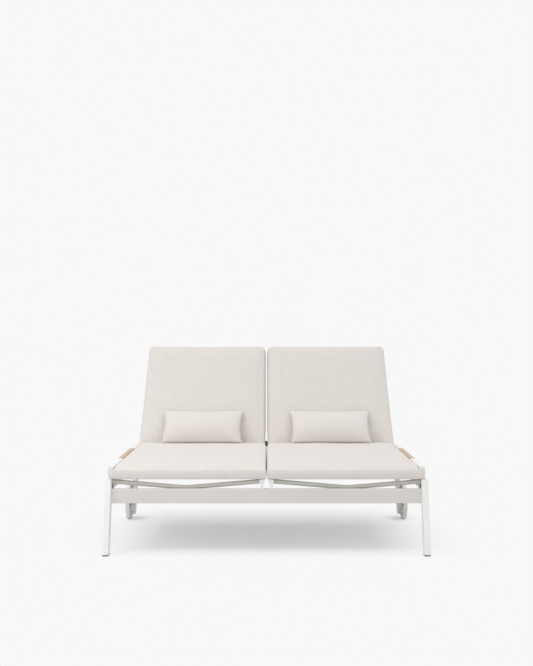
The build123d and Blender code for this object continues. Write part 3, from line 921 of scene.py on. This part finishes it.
@dataclass
class Boxing:
    """A boxed cushion cover in its flat place, X and Y from its middle.

    Attributes:
        side: The height of its sides.
        corners: The corners' radii, by the signs of X and Y.
        crown: How much the middle of the top stands above the sides.
        drawn_in: How much the middle of the far side and of both ends pulls in.
        bulge: How much the boxing stands out between its seams.
        roll: The width over which the top rolls down to its seam, as base_roll is the base's.
        top_seam: How far the top seam lies under the side's height.
        base_seam: How far the lower seam lies above the base.
        front_drop: How much lower the top is along its front edge, over front_reach.
        taper: How much the far side stands out at the lower end.
        inner_drop: How much lower the base seam is along the near side, over inner_reach.
        inner_pull: How much the near side draws back towards its inner_end, over end_reach.
        inner_end: 1 for the far end and -1 for the front or lower one.
        inner_sink: How much further the top sinks along its near side.
        seam_reach: How far from its seam the top is held, and sinks along its near side.
        fullness: The boxing's roundness, and how much less it is along a dropped near side.
        step: The spacing of the mesh's lines away from the seams.
        edge_lines: The distances from a seam of the lines beside it.
        side_lines: The boxing's lines, as shares of its height.
    """

    width: float
    length: float
    side: float
    corners: dict[tuple[int, int], float]
    crown: float = 0.004
    drawn_in: float = 0.003
    bulge: float = 0.003
    roll: float = 0.018
    base_roll: float = 0.016
    top_seam: float = 0.011
    base_seam: float = 0.009
    front_drop: float = 0.0
    front_reach: float = 0.11
    taper: float = 0.0
    inner_drop: float = 0.0
    inner_reach: float = 0.05
    inner_pull: float = 0.0
    inner_end: int = 1
    end_reach: float = 0.14
    inner_sink: float = 0.0
    seam_reach: float = 0.012
    fullness: tuple[float, float] = (0.7, 0.45)
    side_hold: float = 0.9
    step: float = 0.014
    edge_lines: tuple[float, ...] = (0.0, 0.0022, 0.0055, 0.0105, 0.018, 0.028)
    side_lines: tuple[float, ...] = (0.0, 0.07, 0.2, 0.38, 0.56, 0.74, 0.9, 1.0)

    def halves(self) -> tuple[float, float]:
        """How far the seams are from the middle along X and Y."""
        return self.width / 2 - self.bulge, self.length / 2 - self.bulge

    def lines(self, half: float) -> list[float]:
        """Places of the mesh's lines from -half to half, close together near both ends.

        Args:
            half: The distance of both seams from the middle.

        Returns:
            The places.
        """
        inner = half - self.edge_lines[-1]
        count = max(4, round(2 * inner / self.step))
        middle = [inner * (2 * n / count - 1) for n in range(1, count)]
        near = [edge - half for edge in self.edge_lines]
        return near + middle + [-place for place in reversed(near)]

    def plan(self, x: float, y: float) -> tuple[float, float, float, Vector]:
        """Lays a point of the square grid on the cover's outline.

        Args:
            x: Its place on the grid along X.
            y: Its place on the grid along Y.

        Returns:
            Its place along X and Y, its distance from the seam, and the outward direction there.
        """
        half_x, half_y = self.halves()
        sign_x, sign_y = (1 if x >= 0 else -1), (1 if y >= 0 else -1)
        radius = self.corners[(sign_x, sign_y)]
        away_x, away_y = half_x - abs(x), half_y - abs(y)
        new_x, new_y = x, y
        if away_x < radius and away_y < radius:
            part_x, part_y = 1 - away_x / radius, 1 - away_y / radius
            arc_x = part_x * math.sqrt(1 - part_y * part_y / 2)
            arc_y = part_y * math.sqrt(1 - part_x * part_x / 2)
            out = Vector((sign_x * arc_x, sign_y * arc_y, 0))
            if arc_x + arc_y <= 0:
                out = Vector((sign_x, 0, 0))
            distance = radius * (1 - math.hypot(arc_x, arc_y))
            new_x = sign_x * (half_x - radius + arc_x * radius)
            new_y = sign_y * (half_y - radius + arc_y * radius)
        else:
            out = Vector((sign_x, 0, 0)) if away_x < away_y else Vector((0, sign_y, 0))
            distance = min(away_x, away_y)
        far, near = max(new_x / half_x, 0.0), max(-new_x / half_x, 0.0)
        pull_x = self.drawn_in * far**3 * (1 - (new_y / half_y) ** 2)
        pull_y = self.drawn_in * (abs(new_y) / half_y) ** 3 * (1 - (new_x / half_x) ** 2)
        spread = self.taper * far * (0.5 - new_y / self.length)
        from_end = half_y - self.inner_end * new_y
        spread += self.inner_pull * near**3 * max(0.0, 1 - from_end / self.end_reach) ** 0.6
        place_x, place_y = new_x - sign_x * pull_x + spread, new_y - sign_y * pull_y
        return place_x, place_y, max(distance, 0.0), out.normalized()

    def top_rise(self, x: float, y: float, away: float) -> float:
        """The top panel's height at a place, away from its seam.

        Args:
            x: The place along X.
            y: The place along Y.
            away: Its distance from the seam.

        Returns:
            The height.
        """
        half_x, half_y = self.halves()
        rise = self.side - self.top_seam + self.top_seam * roll_over(away, self.roll)
        rise += self.crown * ((1 - (x / half_x) ** 4) * (1 - (y / half_y) ** 4))
        rise -= self.front_drop * max(0.0, 1 - (y + half_y) / self.front_reach) ** 2
        sunk = 1 - roll_over(max(x + half_x, 0.0), self.seam_reach)
        return rise - self.inner_sink * sunk

    def base_rise(self, x: float, away: float) -> float:
        """The base panel's height at a place, away from its seam."""
        near = max(0.0, 1 - (x + self.halves()[0]) / self.inner_reach) ** 2
        return (self.base_seam - self.inner_drop * near) * (1 - roll_over(away, self.base_roll))

    def mesh(self, name: str) -> tuple[bpy.types.Mesh, dict[int, float], list[list[int]]]:
        """Builds the cover.

        Args:
            name: The mesh's name.

        Returns:
            The mesh, how firmly each point is held, and the numbers of the points in order along
            the top seam, the lower seam and the top stitching.
        """
        half_x, half_y = self.halves()
        points: list[Point] = []
        held: dict[int, float] = {}
        outs: list[Vector] = []

        def panel(top: bool) -> Grid:
            """Adds one panel's points and gives their numbers.

            Args:
                top: Whether it is the top panel.

            Returns:
                The numbers, row by row.
            """
            grid = []
            for y in self.lines(half_y):
                grid.append([])
                for x in self.lines(half_x):
                    new_x, new_y, away, out = self.plan(x, y)
                    number = len(points)
                    if top:
                        rise = self.top_rise(new_x, new_y, away)
                        held[number] = max(0.0, 1 - away / self.seam_reach)
                    else:
                        rise = self.base_rise(new_x, away)
                        held[number] = 1.0
                    points.append((new_x, new_y, rise))
                    outs.append(out)
                    grid[-1].append(number)
            return grid

        top, base = panel(True), panel(False)
        faces = []
        for upward, downward in zip(cells(top), cells(base)):
            faces += [upward, (downward[0], *downward[:0:-1])]
        upper, lower = border(top), border(base)
        previous = lower
        full, less = self.fullness
        for share in self.side_lines[1:-1]:
            ring = []
            for above, below in zip(upper, lower):
                spot = Vector(points[below]).lerp(Vector(points[above]), share)
                power = full
                if self.inner_drop:
                    power = full - less * max(-outs[above].x, 0.0) ** 4
                spot += outs[above] * self.bulge * math.sin(math.pi * share) ** power
                held[len(points)] = self.side_hold
                ring.append(len(points))
                points.append(tuple(spot))
            faces += band(previous, ring)
            previous = ring
        faces += band(previous, upper)
        sewn = border([line[2:-2] for line in top[2:-2]])
        return mesh_of(name, points, faces), held, [upper, lower, sewn]


@dataclass(kw_only=True)
class PaddedPiece:
    """A padded piece of each chaise, which takes its CAD node's place.

    Attributes:
        piece: The CAD node's name, without its side.
        body: What names the body that carries it.
        cover: Its finish in the palette, which its slot is named after.
        fill: How full it is; not used.
        centre: Where its middle is, on the right side.
        stuffing: How its cover is blown out.
        seed: What sets its own unevenness.
        seed_step: How much the seed moves on for each side.
    """

    piece: str
    body: BodyOf
    cover: str
    fill: float
    centre: Point
    stuffing: Stuffing
    seed: float
    seed_step: float

    def blown(self, mesh: bpy.types.Mesh, held: dict[int, float]) -> bpy.types.Object:
        """Args:
            mesh: The cover's mesh.
            held: How firmly each point is held.

        Returns:
            The object, to be removed in the end.
        """
        cover = in_scene("cover", mesh)
        self.stuffing.fill(cover, held)
        return cover

    def put(
        self, palette: Palette, side: Side, mesh: bpy.types.Mesh, flat: Matrix, stand: Matrix
    ) -> bpy.types.Object:
        """Sets one side's cover in its place.

        Args:
            palette: The finishes.
            side: The side.
            mesh: The cover, lying flat about its own middle.
            flat: The matrix that lays it on its side.
            stand: The matrix from there to where it stands.

        Returns:
            The piece.
        """
        mesh.transform(flat)
        if side is Side.LEFT:
            mesh.flip_normals()
        mesh.transform(stand)
        piece = lift(mesh, side.node(f"{self.piece}_cover"), palette[self.cover])
        smoother = piece.modifiers.new("smoother", "SUBSURF")
        smoother.levels = smoother.render_levels = 1
        settle(piece)
        weave_map(piece, stand.inverted())
        carry(piece, self.body(side))
        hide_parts(side.node(self.piece))
        return piece


@dataclass(kw_only=True)
class Cushion(PaddedPiece):
    """A boxed cushion: its cover, filled, puckered at its seams and sewn.

    Attributes:
        boxing: The cover's sizes.
        stand: The matrix from its flat place to where it stands.
        nose: How far the front corner beside the arm bulges outward. The bulge is whole up to
            nose_depth, ends over nose_fade, and rounds down to the base over nose_round.
        nose_width: How far in from the side the bulge starts, and the width where it is whole.
        clear: How near the inner side comes to the middle plane, low down, where both cushions
            press on each other.
        open: How much further off it stays higher up, as open_rise says, and at the front end.
        open_wider: The opening's share in the middle, and how much it grows towards the back.
        pucker: How deep the creases beside the seams are. They are whole from pucker_start and
            fade over pucker_reach.
        pucker_rate: How closely they follow each other along and across the seams.
        swell: How high the slow swells of the filling are, and the share of the small ones.
        swell_rates: How closely the large and the small ones follow each other.
        base_zone: The height under which the cover is even.
        seam_depth: How deep the seams are pulled in.
        stitch: The stitches' spacing, length and thickness.
    """

    body: BodyOf = base_body
    cover: str = "cushion"
    fill: float = 0.8
    seed_step: float = 11.7
    stuffing: Stuffing = Stuffing()
    boxing: Boxing
    stand: Matrix
    nose: float = 0.0
    nose_depth: float = 0.0105
    nose_fade: float = 0.0045
    nose_round: float = 0.019
    nose_width: tuple[float, float] = (0.06, 0.05)
    clear: float = 0.0
    open: float = 0.0
    open_rise: tuple[float, float] = (0.014, 0.01)
    open_front: tuple[float, float] = (0.1, 0.02)
    open_wider: tuple[float, float] = (1.15, 0.35)
    pucker: float = 0.0011
    pucker_reach: float = 0.022
    pucker_start: float = 0.006
    pucker_rate: tuple[float, float] = (34, 9)
    swell: tuple[float, float] = (0.0022, 0.35)
    swell_start: float = 0.05
    swell_rates: tuple[float, float] = (5, 13)
    base_zone: float = 0.012
    seam_depth: float = 0.0016
    stitch: Point = (0.0036, 0.0027, 0.0006)
    stitch_rise: float = 0.0001

    def flare(self, mesh: bpy.types.Mesh) -> None:
        """Pushes the front corner beside the arm outward, across the arm's end.

        Args:
            mesh: The cover, lying flat about its own middle.
        """
        front = -self.boxing.length / 2
        start, whole = self.nose_width
        for vertex in mesh.vertices:
            depth = vertex.co.y - front
            side = vertex.co.x - (self.boxing.width / 2 - start)
            if side > 0:
                share = 1 - min(max((depth - self.nose_depth) / self.nose_fade, 0.0), 1.0)
                low = 1 - min(vertex.co.z / self.nose_round, 1.0)
                reach = self.nose - self.nose_round * (1 - math.sqrt(1 - low * low))
                vertex.co.x += reach * share * min(side / whole, 1.0) ** 2

    def uneven(self, mesh: bpy.types.Mesh) -> None:
        """Adds the fine puckers along the seams, and the slow swells of the filling.

        Args:
            mesh: The cover, lying flat about its own middle.
        """
        half_x, half_y = self.boxing.width / 2, self.boxing.length / 2
        shift = Vector((self.seed * 7.3, self.seed * 3.1, self.seed))
        along, across = self.pucker_rate
        height, small_share = self.swell
        large, small = self.swell_rates
        normals = [vertex.normal.copy() for vertex in mesh.vertices]
        for vertex, normal in zip(mesh.vertices, normals):
            x, y, z = vertex.co
            away_x, away_y = half_x - abs(x), half_y - abs(y)
            away = max(min(away_x, away_y), 0.0)
            run = y if away_x < away_y else x
            if z > self.base_zone:
                fade = math.exp(-away / self.pucker_reach) * min(away / self.pucker_start, 1.0)
                spot = Vector((run * along, min(away_x, away_y) * across, 0))
                crease = noise.noise(spot + shift) * self.pucker * fade
                swell = noise.noise(Vector((x * large, y * large, 0)) + shift) * height
                spot = Vector((x * small, y * small, 4))
                swell += noise.noise(spot + shift) * height * small_share
                vertex.co += normal * (crease + swell * min(away / self.swell_start, 1.0))

    def groove(self, mesh: bpy.types.Mesh, seams: Iterable[Sequence[int]]) -> None:
        """Pulls the seam points in, so that the next rows stand proud of them.

        Args:
            mesh: The cover, lying flat about its own middle.
            seams: The numbers of each seam's points.
        """
        for seam in seams:
            for number in seam:
                mesh.vertices[number].co -= mesh.vertices[number].normal * self.seam_depth

    def part(self, mesh: bpy.types.Mesh) -> None:
        """Keeps the inner side off the middle plane.

        Args:
            mesh: The cover, lying flat about its own middle.
        """
        half = self.boxing.length / 2
        (low, rise), (front, run) = self.open_rise, self.open_front
        share, growth = self.open_wider
        for vertex in mesh.vertices:
            x, y, z = vertex.co
            high = max((z - low) / rise, (front - y - half) / run, 0.0)
            wider = share + growth * y / half
            gap = self.clear + self.open * min(high, 1.0) * wider
            vertex.co.x = max(x, gap - self.centre[0])

    def make(self, palette: Palette) -> None:
        """Makes the cushion and its stitches for each side.

        Args:
            palette: The finishes.
        """
        base, held, (upper, lower, sewn) = self.boxing.mesh(f"{self.piece}_cover")
        if self.nose:
            self.flare(base)
        cover = self.blown(base, held)
        for side in Side:
            mesh = base.copy()
            mesh.update()
            self.seed += self.seed_step
            self.uneven(mesh)
            mesh.update()
            self.groove(mesh, (upper, lower))
            self.part(mesh)
            flat = side.mirror() @ Matrix.Translation(self.centre)
            piece = self.put(palette, side, mesh, flat, self.stand)
            vertices = [piece.data.vertices[n] for n in sewn]
            line = [vertex.co + vertex.normal * self.stitch_rise for vertex in vertices]
            name = side.node(f"{self.piece}_stitches")
            row = PathRepeat(Repeat.STITCH, *self.stitch)
            thread = row.along([line], name, palette["thread"])
            carry(thread, self.body(side))
        bpy.data.objects.remove(cover)


@dataclass(kw_only=True)
class LumbarPillow(PaddedPiece):
    """A small pillow of two panels, blown out from nearly flat and finished with a sewn edge.

    Attributes:
        width: Its width when filled, as height and thickness are then too.
        tilt: How far it leans back from lying flat.
        crowded: How much its lines crowd towards the short sides.
        waist: How much the middle of its short sides draws in.
        wider: How much wider it is above.
        dip: How much the middle of its long sides draws in, and how much more so above.
        ears: How much its corners stick out.
        belly: How full the front is, and how much less so above.
        roundness: The powers of its rise from the short and the long sides.
        flat_share: The share of its thickness on each side before it is filled.
        crease: How deep the creases are. They run in over crease_reach.
        fan_rate: How closely those from the short sides follow each other along X and Y.
        run_rate: The same for those from the long sides.
        swell: How high its slow swells are.
        edge: The radius of its sewn edge, which stands out by edge_out radii.
    """

    piece: str = "pillow"
    body: BodyOf = back_body
    cover: str = "pillow"
    fill: float = 0.75
    centre: Point = (0.3785, 1.2505 + FRONT, 0.5081)
    stuffing: Stuffing = Stuffing(cap=0.004, tension=25.0)
    seed: float = 3.0
    seed_step: float = 4.3
    width: float = 0.482
    height: float = 0.288
    thickness: float = 0.11
    tilt: float = 36.0
    columns: int = 66
    rows: int = 42
    crowded: float = 0.35
    waist: float = 0.045
    wider: float = 0.014
    dip: tuple[float, float] = (0.03, 0.02)
    ears: float = 0.012
    belly: tuple[float, float] = (1.2, 0.5)
    roundness: tuple[float, float] = (0.45, 0.75)
    flat_share: float = 0.41
    crease: float = 0.0016
    crease_reach: tuple[float, float] = (0.03, 0.016)
    fan_rate: tuple[float, float] = (12, 55)
    run_rate: tuple[float, float] = (40, 14)
    swell: float = 0.0016
    swell_rate: float = 9
    edge: float = 0.0013
    edge_out: float = 0.7
    edge_sides: int = 6

    def spot(self, u: float, v: float, sign: int) -> Point:
        """A point of the front or back panel.

        Args:
            u: Its place across, from -1 to 1.
            v: Its place up, from -1 to 1.
            sign: 1 on the front and -1 on the back.

        Returns:
            Its place before filling.
        """
        ease = math.sin(u * math.pi / 2) * self.crowded + u * (1 - self.crowded)
        x = ease * self.width / 2 * (1 - self.waist * (1 - v * v)) * (1 + self.wider * v)
        dip, more_above = self.dip
        y = v * self.height / 2 * (1 - (dip + more_above * v) * (1 - u * u))
        x *= 1 + self.ears * (u * v) ** 8
        full, less_above = self.belly
        belly = full * (1 - less_above * v) if sign > 0 else 1.0
        power_u, power_v = self.roundness
        rise = (1 - u * u) ** power_u * (1 - v * v) ** power_v * belly
        return x, y, sign * rise * self.thickness * self.flat_share

    def panels(self) -> tuple[bpy.types.Mesh, list[int]]:
        """Builds both panels, sewn together all round.

        Returns:
            The mesh and the numbers of the seam's points in order.
        """
        points: list[Point] = []
        faces: list[Face] = []
        front: Grid = []
        for sign in (1, -1):
            grid: Grid = []
            for j in range(self.rows + 1):
                grid.append([])
                for i in range(self.columns + 1):
                    u, v = 2 * i / self.columns - 1, 2 * j / self.rows - 1
                    if front and (abs(u) == 1 or abs(v) == 1):
                        grid[-1].append(front[j][i])
                        continue
                    grid[-1].append(len(points))
                    points.append(self.spot(u, v, sign))
            front = front or grid
            faces += [face if sign > 0 else face[::-1] for face in cells(grid)]
        return mesh_of("pillow_cover", points, faces), border(front)

    def fitted(self, mesh: bpy.types.Mesh) -> None:
        """Scales the filled cover to its sizes, about its seam's plane.

        Args:
            mesh: The cover, lying flat about its own middle.
        """
        for axis, size in enumerate((self.width, self.height, self.thickness)):
            places = [vertex.co[axis] for vertex in mesh.vertices]
            low, high = min(places), max(places)
            middle = (low + high) / 2 if axis < 2 else 0.0
            for vertex in mesh.vertices:
                vertex.co[axis] = (vertex.co[axis] - middle) * size / (high - low)

    def crumple(self, mesh: bpy.types.Mesh) -> None:
        """Adds the short creases that run in from the seam at the short sides and corners.

        Args:
            mesh: The cover, lying flat about its own middle.
        """
        half_width, half_height = self.width / 2, self.height / 2
        reach_x, reach_y = self.crease_reach
        (fan_x, fan_y), (run_x, run_y), slow_rate = self.fan_rate, self.run_rate, self.swell_rate
        normals = [vertex.normal.copy() for vertex in mesh.vertices]
        for vertex, normal in zip(mesh.vertices, normals):
            x, y, z = vertex.co
            near_x = math.exp(-(half_width - abs(x)) / reach_x)
            near_y = math.exp(-(half_height - abs(y)) / reach_y)
            fade = (near_x + 0.45 * near_y) * min(abs(z) / 0.008, 1.0)
            fan = noise.noise(Vector((x * fan_x, y * fan_y, self.seed))) * near_x
            run = noise.noise(Vector((x * run_x, y * run_y, self.seed + 5))) * near_y
            slow = noise.noise(Vector((x * slow_rate, y * slow_rate, self.seed + 9)))
            crease = (fan * 1.5 + run) * self.crease * min(fade, 1.0)
            vertex.co += normal * (crease + slow * self.swell * min(abs(z) / 0.02, 1.0))

    def welt(self, mesh: bpy.types.Mesh, seam: Sequence[int]) -> bpy.types.Mesh:
        """Adds the narrow sewn edge, a thin roll all along the seam.

        Args:
            mesh: The filled cover.
            seam: The numbers of the seam's points in order.

        Returns:
            The cover with its edge.
        """
        points = [vertex.co.copy() for vertex in mesh.vertices]
        faces = [tuple(face.vertices) for face in mesh.polygons]
        path = [points[n] for n in seam]
        count, around, first = len(path), self.edge_sides, len(points)
        for n, spot in enumerate(path):
            run = path[(n + 1) % count] - path[n - 1]
            out = Vector((run.y, -run.x, 0)).normalized()
            for k in range(around):
                turn = math.tau * k / around
                outward = out * (self.edge * (self.edge_out + math.cos(turn)))
                points.append(spot + outward + Vector((0, 0, self.edge * math.sin(turn))))
        for n in range(count):
            here, there = first + n * around, first + (n + 1) % count * around
            for k in range(around):
                after = (k + 1) % around
                faces.append((here + k, there + k, there + after, here + after))
        return mesh_of("pillow_cover_sewn", points, faces)

    def make(self, palette: Palette) -> None:
        """Makes the pillow for each side.

        Args:
            palette: The finishes.
        """
        base, seam = self.panels()
        cover = self.blown(base, dict.fromkeys(seam, 1.0))
        self.fitted(base)
        lean = Matrix.Rotation(math.radians(self.tilt), 4, "X")
        for side in Side:
            mesh = base.copy()
            self.seed += self.seed_step
            self.crumple(mesh)
            mesh = self.welt(mesh, seam)
            x, y, z = self.centre
            stand = Matrix.Translation((side.value * x, y, z)) @ lean
            self.put(palette, side, mesh, side.mirror(), stand)
        bpy.data.objects.remove(cover)


@dataclass
class Sling:
    """A sling stretched between two tubes, with sewn hems.

    Attributes:
        piece: The CAD node's name, without its side.
        body: What names the body that carries it.
        across: Its edges beside the centre gap and beside the outer rail.
        along: Its lower or front end and its upper or rear end when flat.
        rise: Its upper face's height when flat.
        sag: How far its middle hangs.
        stand: The matrix from its flat place to where it stands.
        held_by: The nodes that hold it, without their side.
        thickness: How thick the cloth is.
        faces: How many faces it has across and along.
        end_sag: The share of its sag that its ends have.
    """

    piece: str
    body: BodyOf
    across: tuple[float, float]
    along: tuple[float, float]
    rise: float
    sag: float
    stand: Matrix
    held_by: tuple[str, ...]
    thickness: float = 0.0012
    faces: tuple[int, int] = (48, 72)
    end_sag: float = 0.55

    def make(self, palette: Palette, side: Side) -> None:
        """Makes the sling for one side.

        Args:
            palette: The finishes.
            side: The side.
        """
        columns, rows = self.faces
        (near, far), (start, end) = self.across, self.along
        points: list[Point] = []
        grid: Grid = []
        for j in range(rows + 1):
            grid.append([])
            for i in range(columns + 1):
                u, v = i / columns, j / rows
                hang = self.end_sag + (1 - self.end_sag) * math.sin(math.pi * v)
                drop = self.sag * math.sin(math.pi * u) * hang
                x, y = near + (far - near) * u, start + (end - start) * v
                grid[-1].append(len(points))
                points.append((side.value * x, y, self.rise - drop))
        faces = [face if side is Side.RIGHT else face[::-1] for face in cells(grid)]
        mesh = mesh_of(self.piece, points, faces)
        mesh.transform(self.stand)
        piece = lift(mesh, side.node(f"{self.piece}_cloth"), palette["sling"])
        wall = piece.modifiers.new("wall", "SOLIDIFY")
        wall.thickness = self.thickness
        wall.offset = -1.0
        settle(piece)
        weave_map(piece, self.stand.inverted())
        carry(piece, self.body(side))
        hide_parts(side.node(self.piece))
        [side.node(name) for name in self.held_by]


@dataclass
class Studio:
    """The pale floor, the soft light and the camera.

    Attributes:
        lens: The camera's focal length, for a picture as high as the sensor.
        paper: The floor's colour.
        sky: How strong the room's light is, level with the eye and straight above.
        floor_grey: How pale the floor is to the camera.
        floor_bounce: How much light it throws back onto the lounger.
        shade: How much of the lounger's own shadow the paper shows.
        shade_reach: How far to each side the shadow starts and stops fading.
        shade_front: Where the shadow starts and is whole, in front.
        shade_back: Where the shadow starts and stops fading, behind.
        wheel_place: Where a wheel stands, on the right.
        wheel_reach: How far around a wheel the paper shows its shadow whole, and at all.
    """

    camera_place: Point = (0.0, -5.0 + FRONT, 1.0597)
    lens: float = 57.03
    sensor: float = 36.0
    paper: Colour = linear(248, 248, 248)
    sky: tuple[float, float] = (0.34, 1.39)
    lamp_place: Point = (-2.3, -1.8, 2.4)
    lamp_aim: Point = (0.0, 0.0, 0.3)
    lamp_size: float = 1.8
    lamp_power: float = 20.0
    floor_reach: float = 60.0
    floor_grey: float = 0.85
    floor_bounce: float = 0.85
    shade: float = 0.6
    shade_reach: tuple[float, float] = (0.55, 1.05)
    shade_front: tuple[float, float] = (-0.08 + FRONT, 0.2 + FRONT)
    shade_back: tuple[float, float] = (0.8 + FRONT, 1.45 + FRONT)
    wheel_place: tuple[float, float] = (0.765, 1.035 + FRONT)
    wheel_reach: tuple[float, float] = (0.03, 0.17)

    def floor(self) -> None:
        """Lays the floor."""
        shader = Shader(bpy.data.materials.new("studio_floor"))
        matte, dull = (
            shader.out("ShaderNodeBsdfDiffuse", Color=(grey, grey, grey, 1.0))
            for grey in (self.floor_grey, self.floor_bounce)
        )
        glow = shader.out("ShaderNodeEmission", Color=self.paper, Strength=1.0)
        path = shader.node("ShaderNodeLightPath").outputs
        camera, glossy = (Signal(shader, path[f"Is {ray} Ray"]) for ray in ("Camera", "Glossy"))
        across, along, _ = shader.split(shader.coordinates())
        outward = shader.maths("ABSOLUTE", across)
        beside = 1.0 - shader.span(outward, *self.shade_reach)
        under = shader.span(along, *self.shade_front)
        under = under * (1.0 - shader.span(along, *self.shade_back))
        wheel_x, wheel_y = outward - self.wheel_place[0], along - self.wheel_place[1]
        distance = (wheel_x * wheel_x + wheel_y * wheel_y) ** 0.5
        around = 1.0 - shader.span(distance, *self.wheel_reach)
        paper_share = 1.0 - shader.maths("MAXIMUM", beside * under, around) * self.shade
        paper = shader.mix(paper_share, matte, glow)
        seen = shader.maths("MAXIMUM", camera, glossy)
        shader.surface(shader.mix(seen, dull, paper))
        reach = self.floor_reach
        corners = (-reach, -reach, 0), (reach, -reach, 0), (reach, reach, 0), (-reach, reach, 0)
        lift(mesh_of("floor", corners, [(0, 1, 2, 3)]), "floor", shader.owner, False)

    def sky_light(self) -> None:
        """Sets the even light of the room, which shows as white paper behind the lounger."""
        world = bpy.data.worlds.new("studio_world")
        bpy.context.scene.world = world
        shader = Shader(world)
        low, high = (
            shader.out("ShaderNodeBackground", Color=WHITE, Strength=strength)
            for strength in self.sky
        )
        paper = shader.out("ShaderNodeBackground", Color=self.paper)
        _, _, up = shader.split(shader.coordinates("Generated"))
        room = shader.mix(shader.out("ShaderNodeClamp", Value=up), low, high)
        path = shader.node("ShaderNodeLightPath").outputs
        shader.surface(shader.mix(Signal(shader, path["Is Camera Ray"]), room, paper))

    def lamp(self) -> None:
        """Hangs the soft square lamp."""
        data = bpy.data.lights.new("left_softbox", "AREA")
        data.size = self.lamp_size
        data.energy = self.lamp_power
        lamp = in_scene("left_softbox", data)
        lamp.location = self.lamp_place
        aim = Vector(self.lamp_aim) - Vector(self.lamp_place)
        lamp.rotation_euler = aim.to_track_quat("-Z", "Y").to_euler()

    def camera(self) -> None:
        """Sets the level camera of the photograph."""
        data = bpy.data.cameras.new("camera")
        data.lens = self.lens
        data.sensor_fit = "VERTICAL"
        data.sensor_height = self.sensor
        camera = in_scene("camera", data)
        camera.location = self.camera_place
        camera.rotation_euler = (math.pi / 2, 0.0, 0.0)
        bpy.context.scene.camera = camera

    def build(self) -> None:
        """Sets the whole studio."""
        bpy.context.scene.view_settings.view_transform = "Standard"
        self.camera()
        self.floor()
        self.sky_light()
        self.lamp()


@dataclass(frozen=True)
class Frame:
    """The tubes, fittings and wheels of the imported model, with their finishes.

    Attributes:
        finishes: Words in a node's name, and the finish that they stand for. The first that
            fits is taken, and a node with none is powder coated white.
    """

    finishes: tuple[tuple[str, str], ...] = (
        ("teak", "teak"),
        ("bolts", "steel"),
        ("foot_bar", "steel"),
        ("glides", "glide"),
        ("caps", "cap"),
        ("wheel", "wheel"),
        ("hub_cap", "wheel"),
        ("tyre", "tread"),
        # The end bracket takes the dark coat with painted shade.
        ("end_bracket", "bracket"),
        # The front rail takes the coat with painted shade.
        ("front_rail", "frame_shade"),
        # The spreaders take the grey coat with painted shade.
        ("spreader", "spreader"),
    )

    def dress(self, palette: Palette) -> None:
        """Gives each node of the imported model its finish.

        Args:
            palette: The finishes.
        """
        for name, node in sorted(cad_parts.items()):
            finish = next((word for part, word in self.finishes if part in name), "frame")
            if not node.material_slots:
                node.data.materials.append(palette[finish])
            for slot in node.material_slots:
                slot.material = palette[finish]
            log.info("%s: %s", name, finish)


WELDS = (
    Weld("front_rail", 0.7497, (-0.876, 0.237), (-0.851, 0.307)),
    Weld("rear_rail", 0.7447, (0.162, 0.26), (0.187, 0.328)),
    Weld("end_rail", 0.7447, (0.937, 0.275), (0.962, 0.3)),
)


def seat_cushion() -> Cushion:
    """The seat cushion, which lies on the base.

    Returns:
        The cushion, ready to be made.
    """
    boxing = Boxing(
        width=0.7447,
        length=1.125,
        side=0.064,
        corners={(-1, -1): 0.0045, (1, -1): 0.008, (1, 1): 0.026, (-1, 1): 0.045},
        drawn_in=0.0,
        base_seam=0.003,
        bulge=0.0024,
        roll=0.014,
        top_seam=0.009,
        front_drop=0.017,
        inner_drop=0.0015,
        inner_pull=0.005,
    )
    return Cushion(
        piece="seat_cushion",
        boxing=boxing,
        centre=(0.0001 + boxing.width / 2, 0.105 + FRONT + boxing.length / 2, 0.3502),
        stand=Matrix.Identity(4),
        stuffing=Stuffing(cap=0.003),
        nose=0.0215,
        clear=0.0003,
        open=0.0019,
        seed=1.0,
    )


def back_stand() -> Matrix:
    """The matrix from the backs' flat place, on their hinge, to where they stand."""
    return Matrix.Translation(HINGE) @ Matrix.Rotation(math.radians(RECLINE), 4, "X")


def back_cushion() -> Cushion:
    """The back cushion, which leans on its back's sling.

    Returns:
        The cushion, ready to be made.
    """
    boxing = Boxing(
        width=0.7448,
        length=0.78,
        side=0.054,
        corners={(-1, -1): 0.026, (1, -1): 0.026, (1, 1): 0.029, (-1, 1): 0.036},
        taper=0.009,
        inner_pull=0.0035,
        inner_end=-1,
        inner_sink=0.024,
    )
    return Cushion(
        piece="back_cushion",
        body=back_body,
        boxing=boxing,
        centre=(0.0042 + boxing.width / 2, 0.008 + boxing.length / 2, 0.0147),
        stand=back_stand(),
        seed=5.0,
    )


def slings() -> tuple[Sling, Sling]:
    """The slings under the seat cushion and behind the back cushion.

    Returns:
        Both slings, ready to be made.
    """
    seat = Sling(
        piece="seat_sling",
        body=base_body,
        across=(0.034, 0.745),
        along=(0.142 + FRONT, 1.215 + FRONT),
        rise=0.35,
        sag=0.004,
        stand=Matrix.Identity(4),
        held_by=("side_rail", "inner_rail"),
    )
    back = Sling(
        piece="back_sling",
        body=back_body,
        across=(0.039, 0.74),
        along=(-0.0125, 0.745),
        rise=0.0145,
        sag=0.0,
        stand=back_stand(),
        held_by=("back_inner_tube", "back_outer_tube"),
    )
    return seat, back


def main() -> None:
    """Dresses the lounger piece by piece and sets the studio."""
    logging.basicConfig(level=logging.INFO, format="%(name)s: %(message)s")
    palette = Palette()
    Studio().build()
    Frame().dress(palette)
    for piece in (*WELDS, seat_cushion(), back_cushion(), LumbarPillow()):
        piece.make(palette)
    for side in Side:
        for sling in slings():
            sling.make(palette, side)


if __name__ == "__main__":
    main()
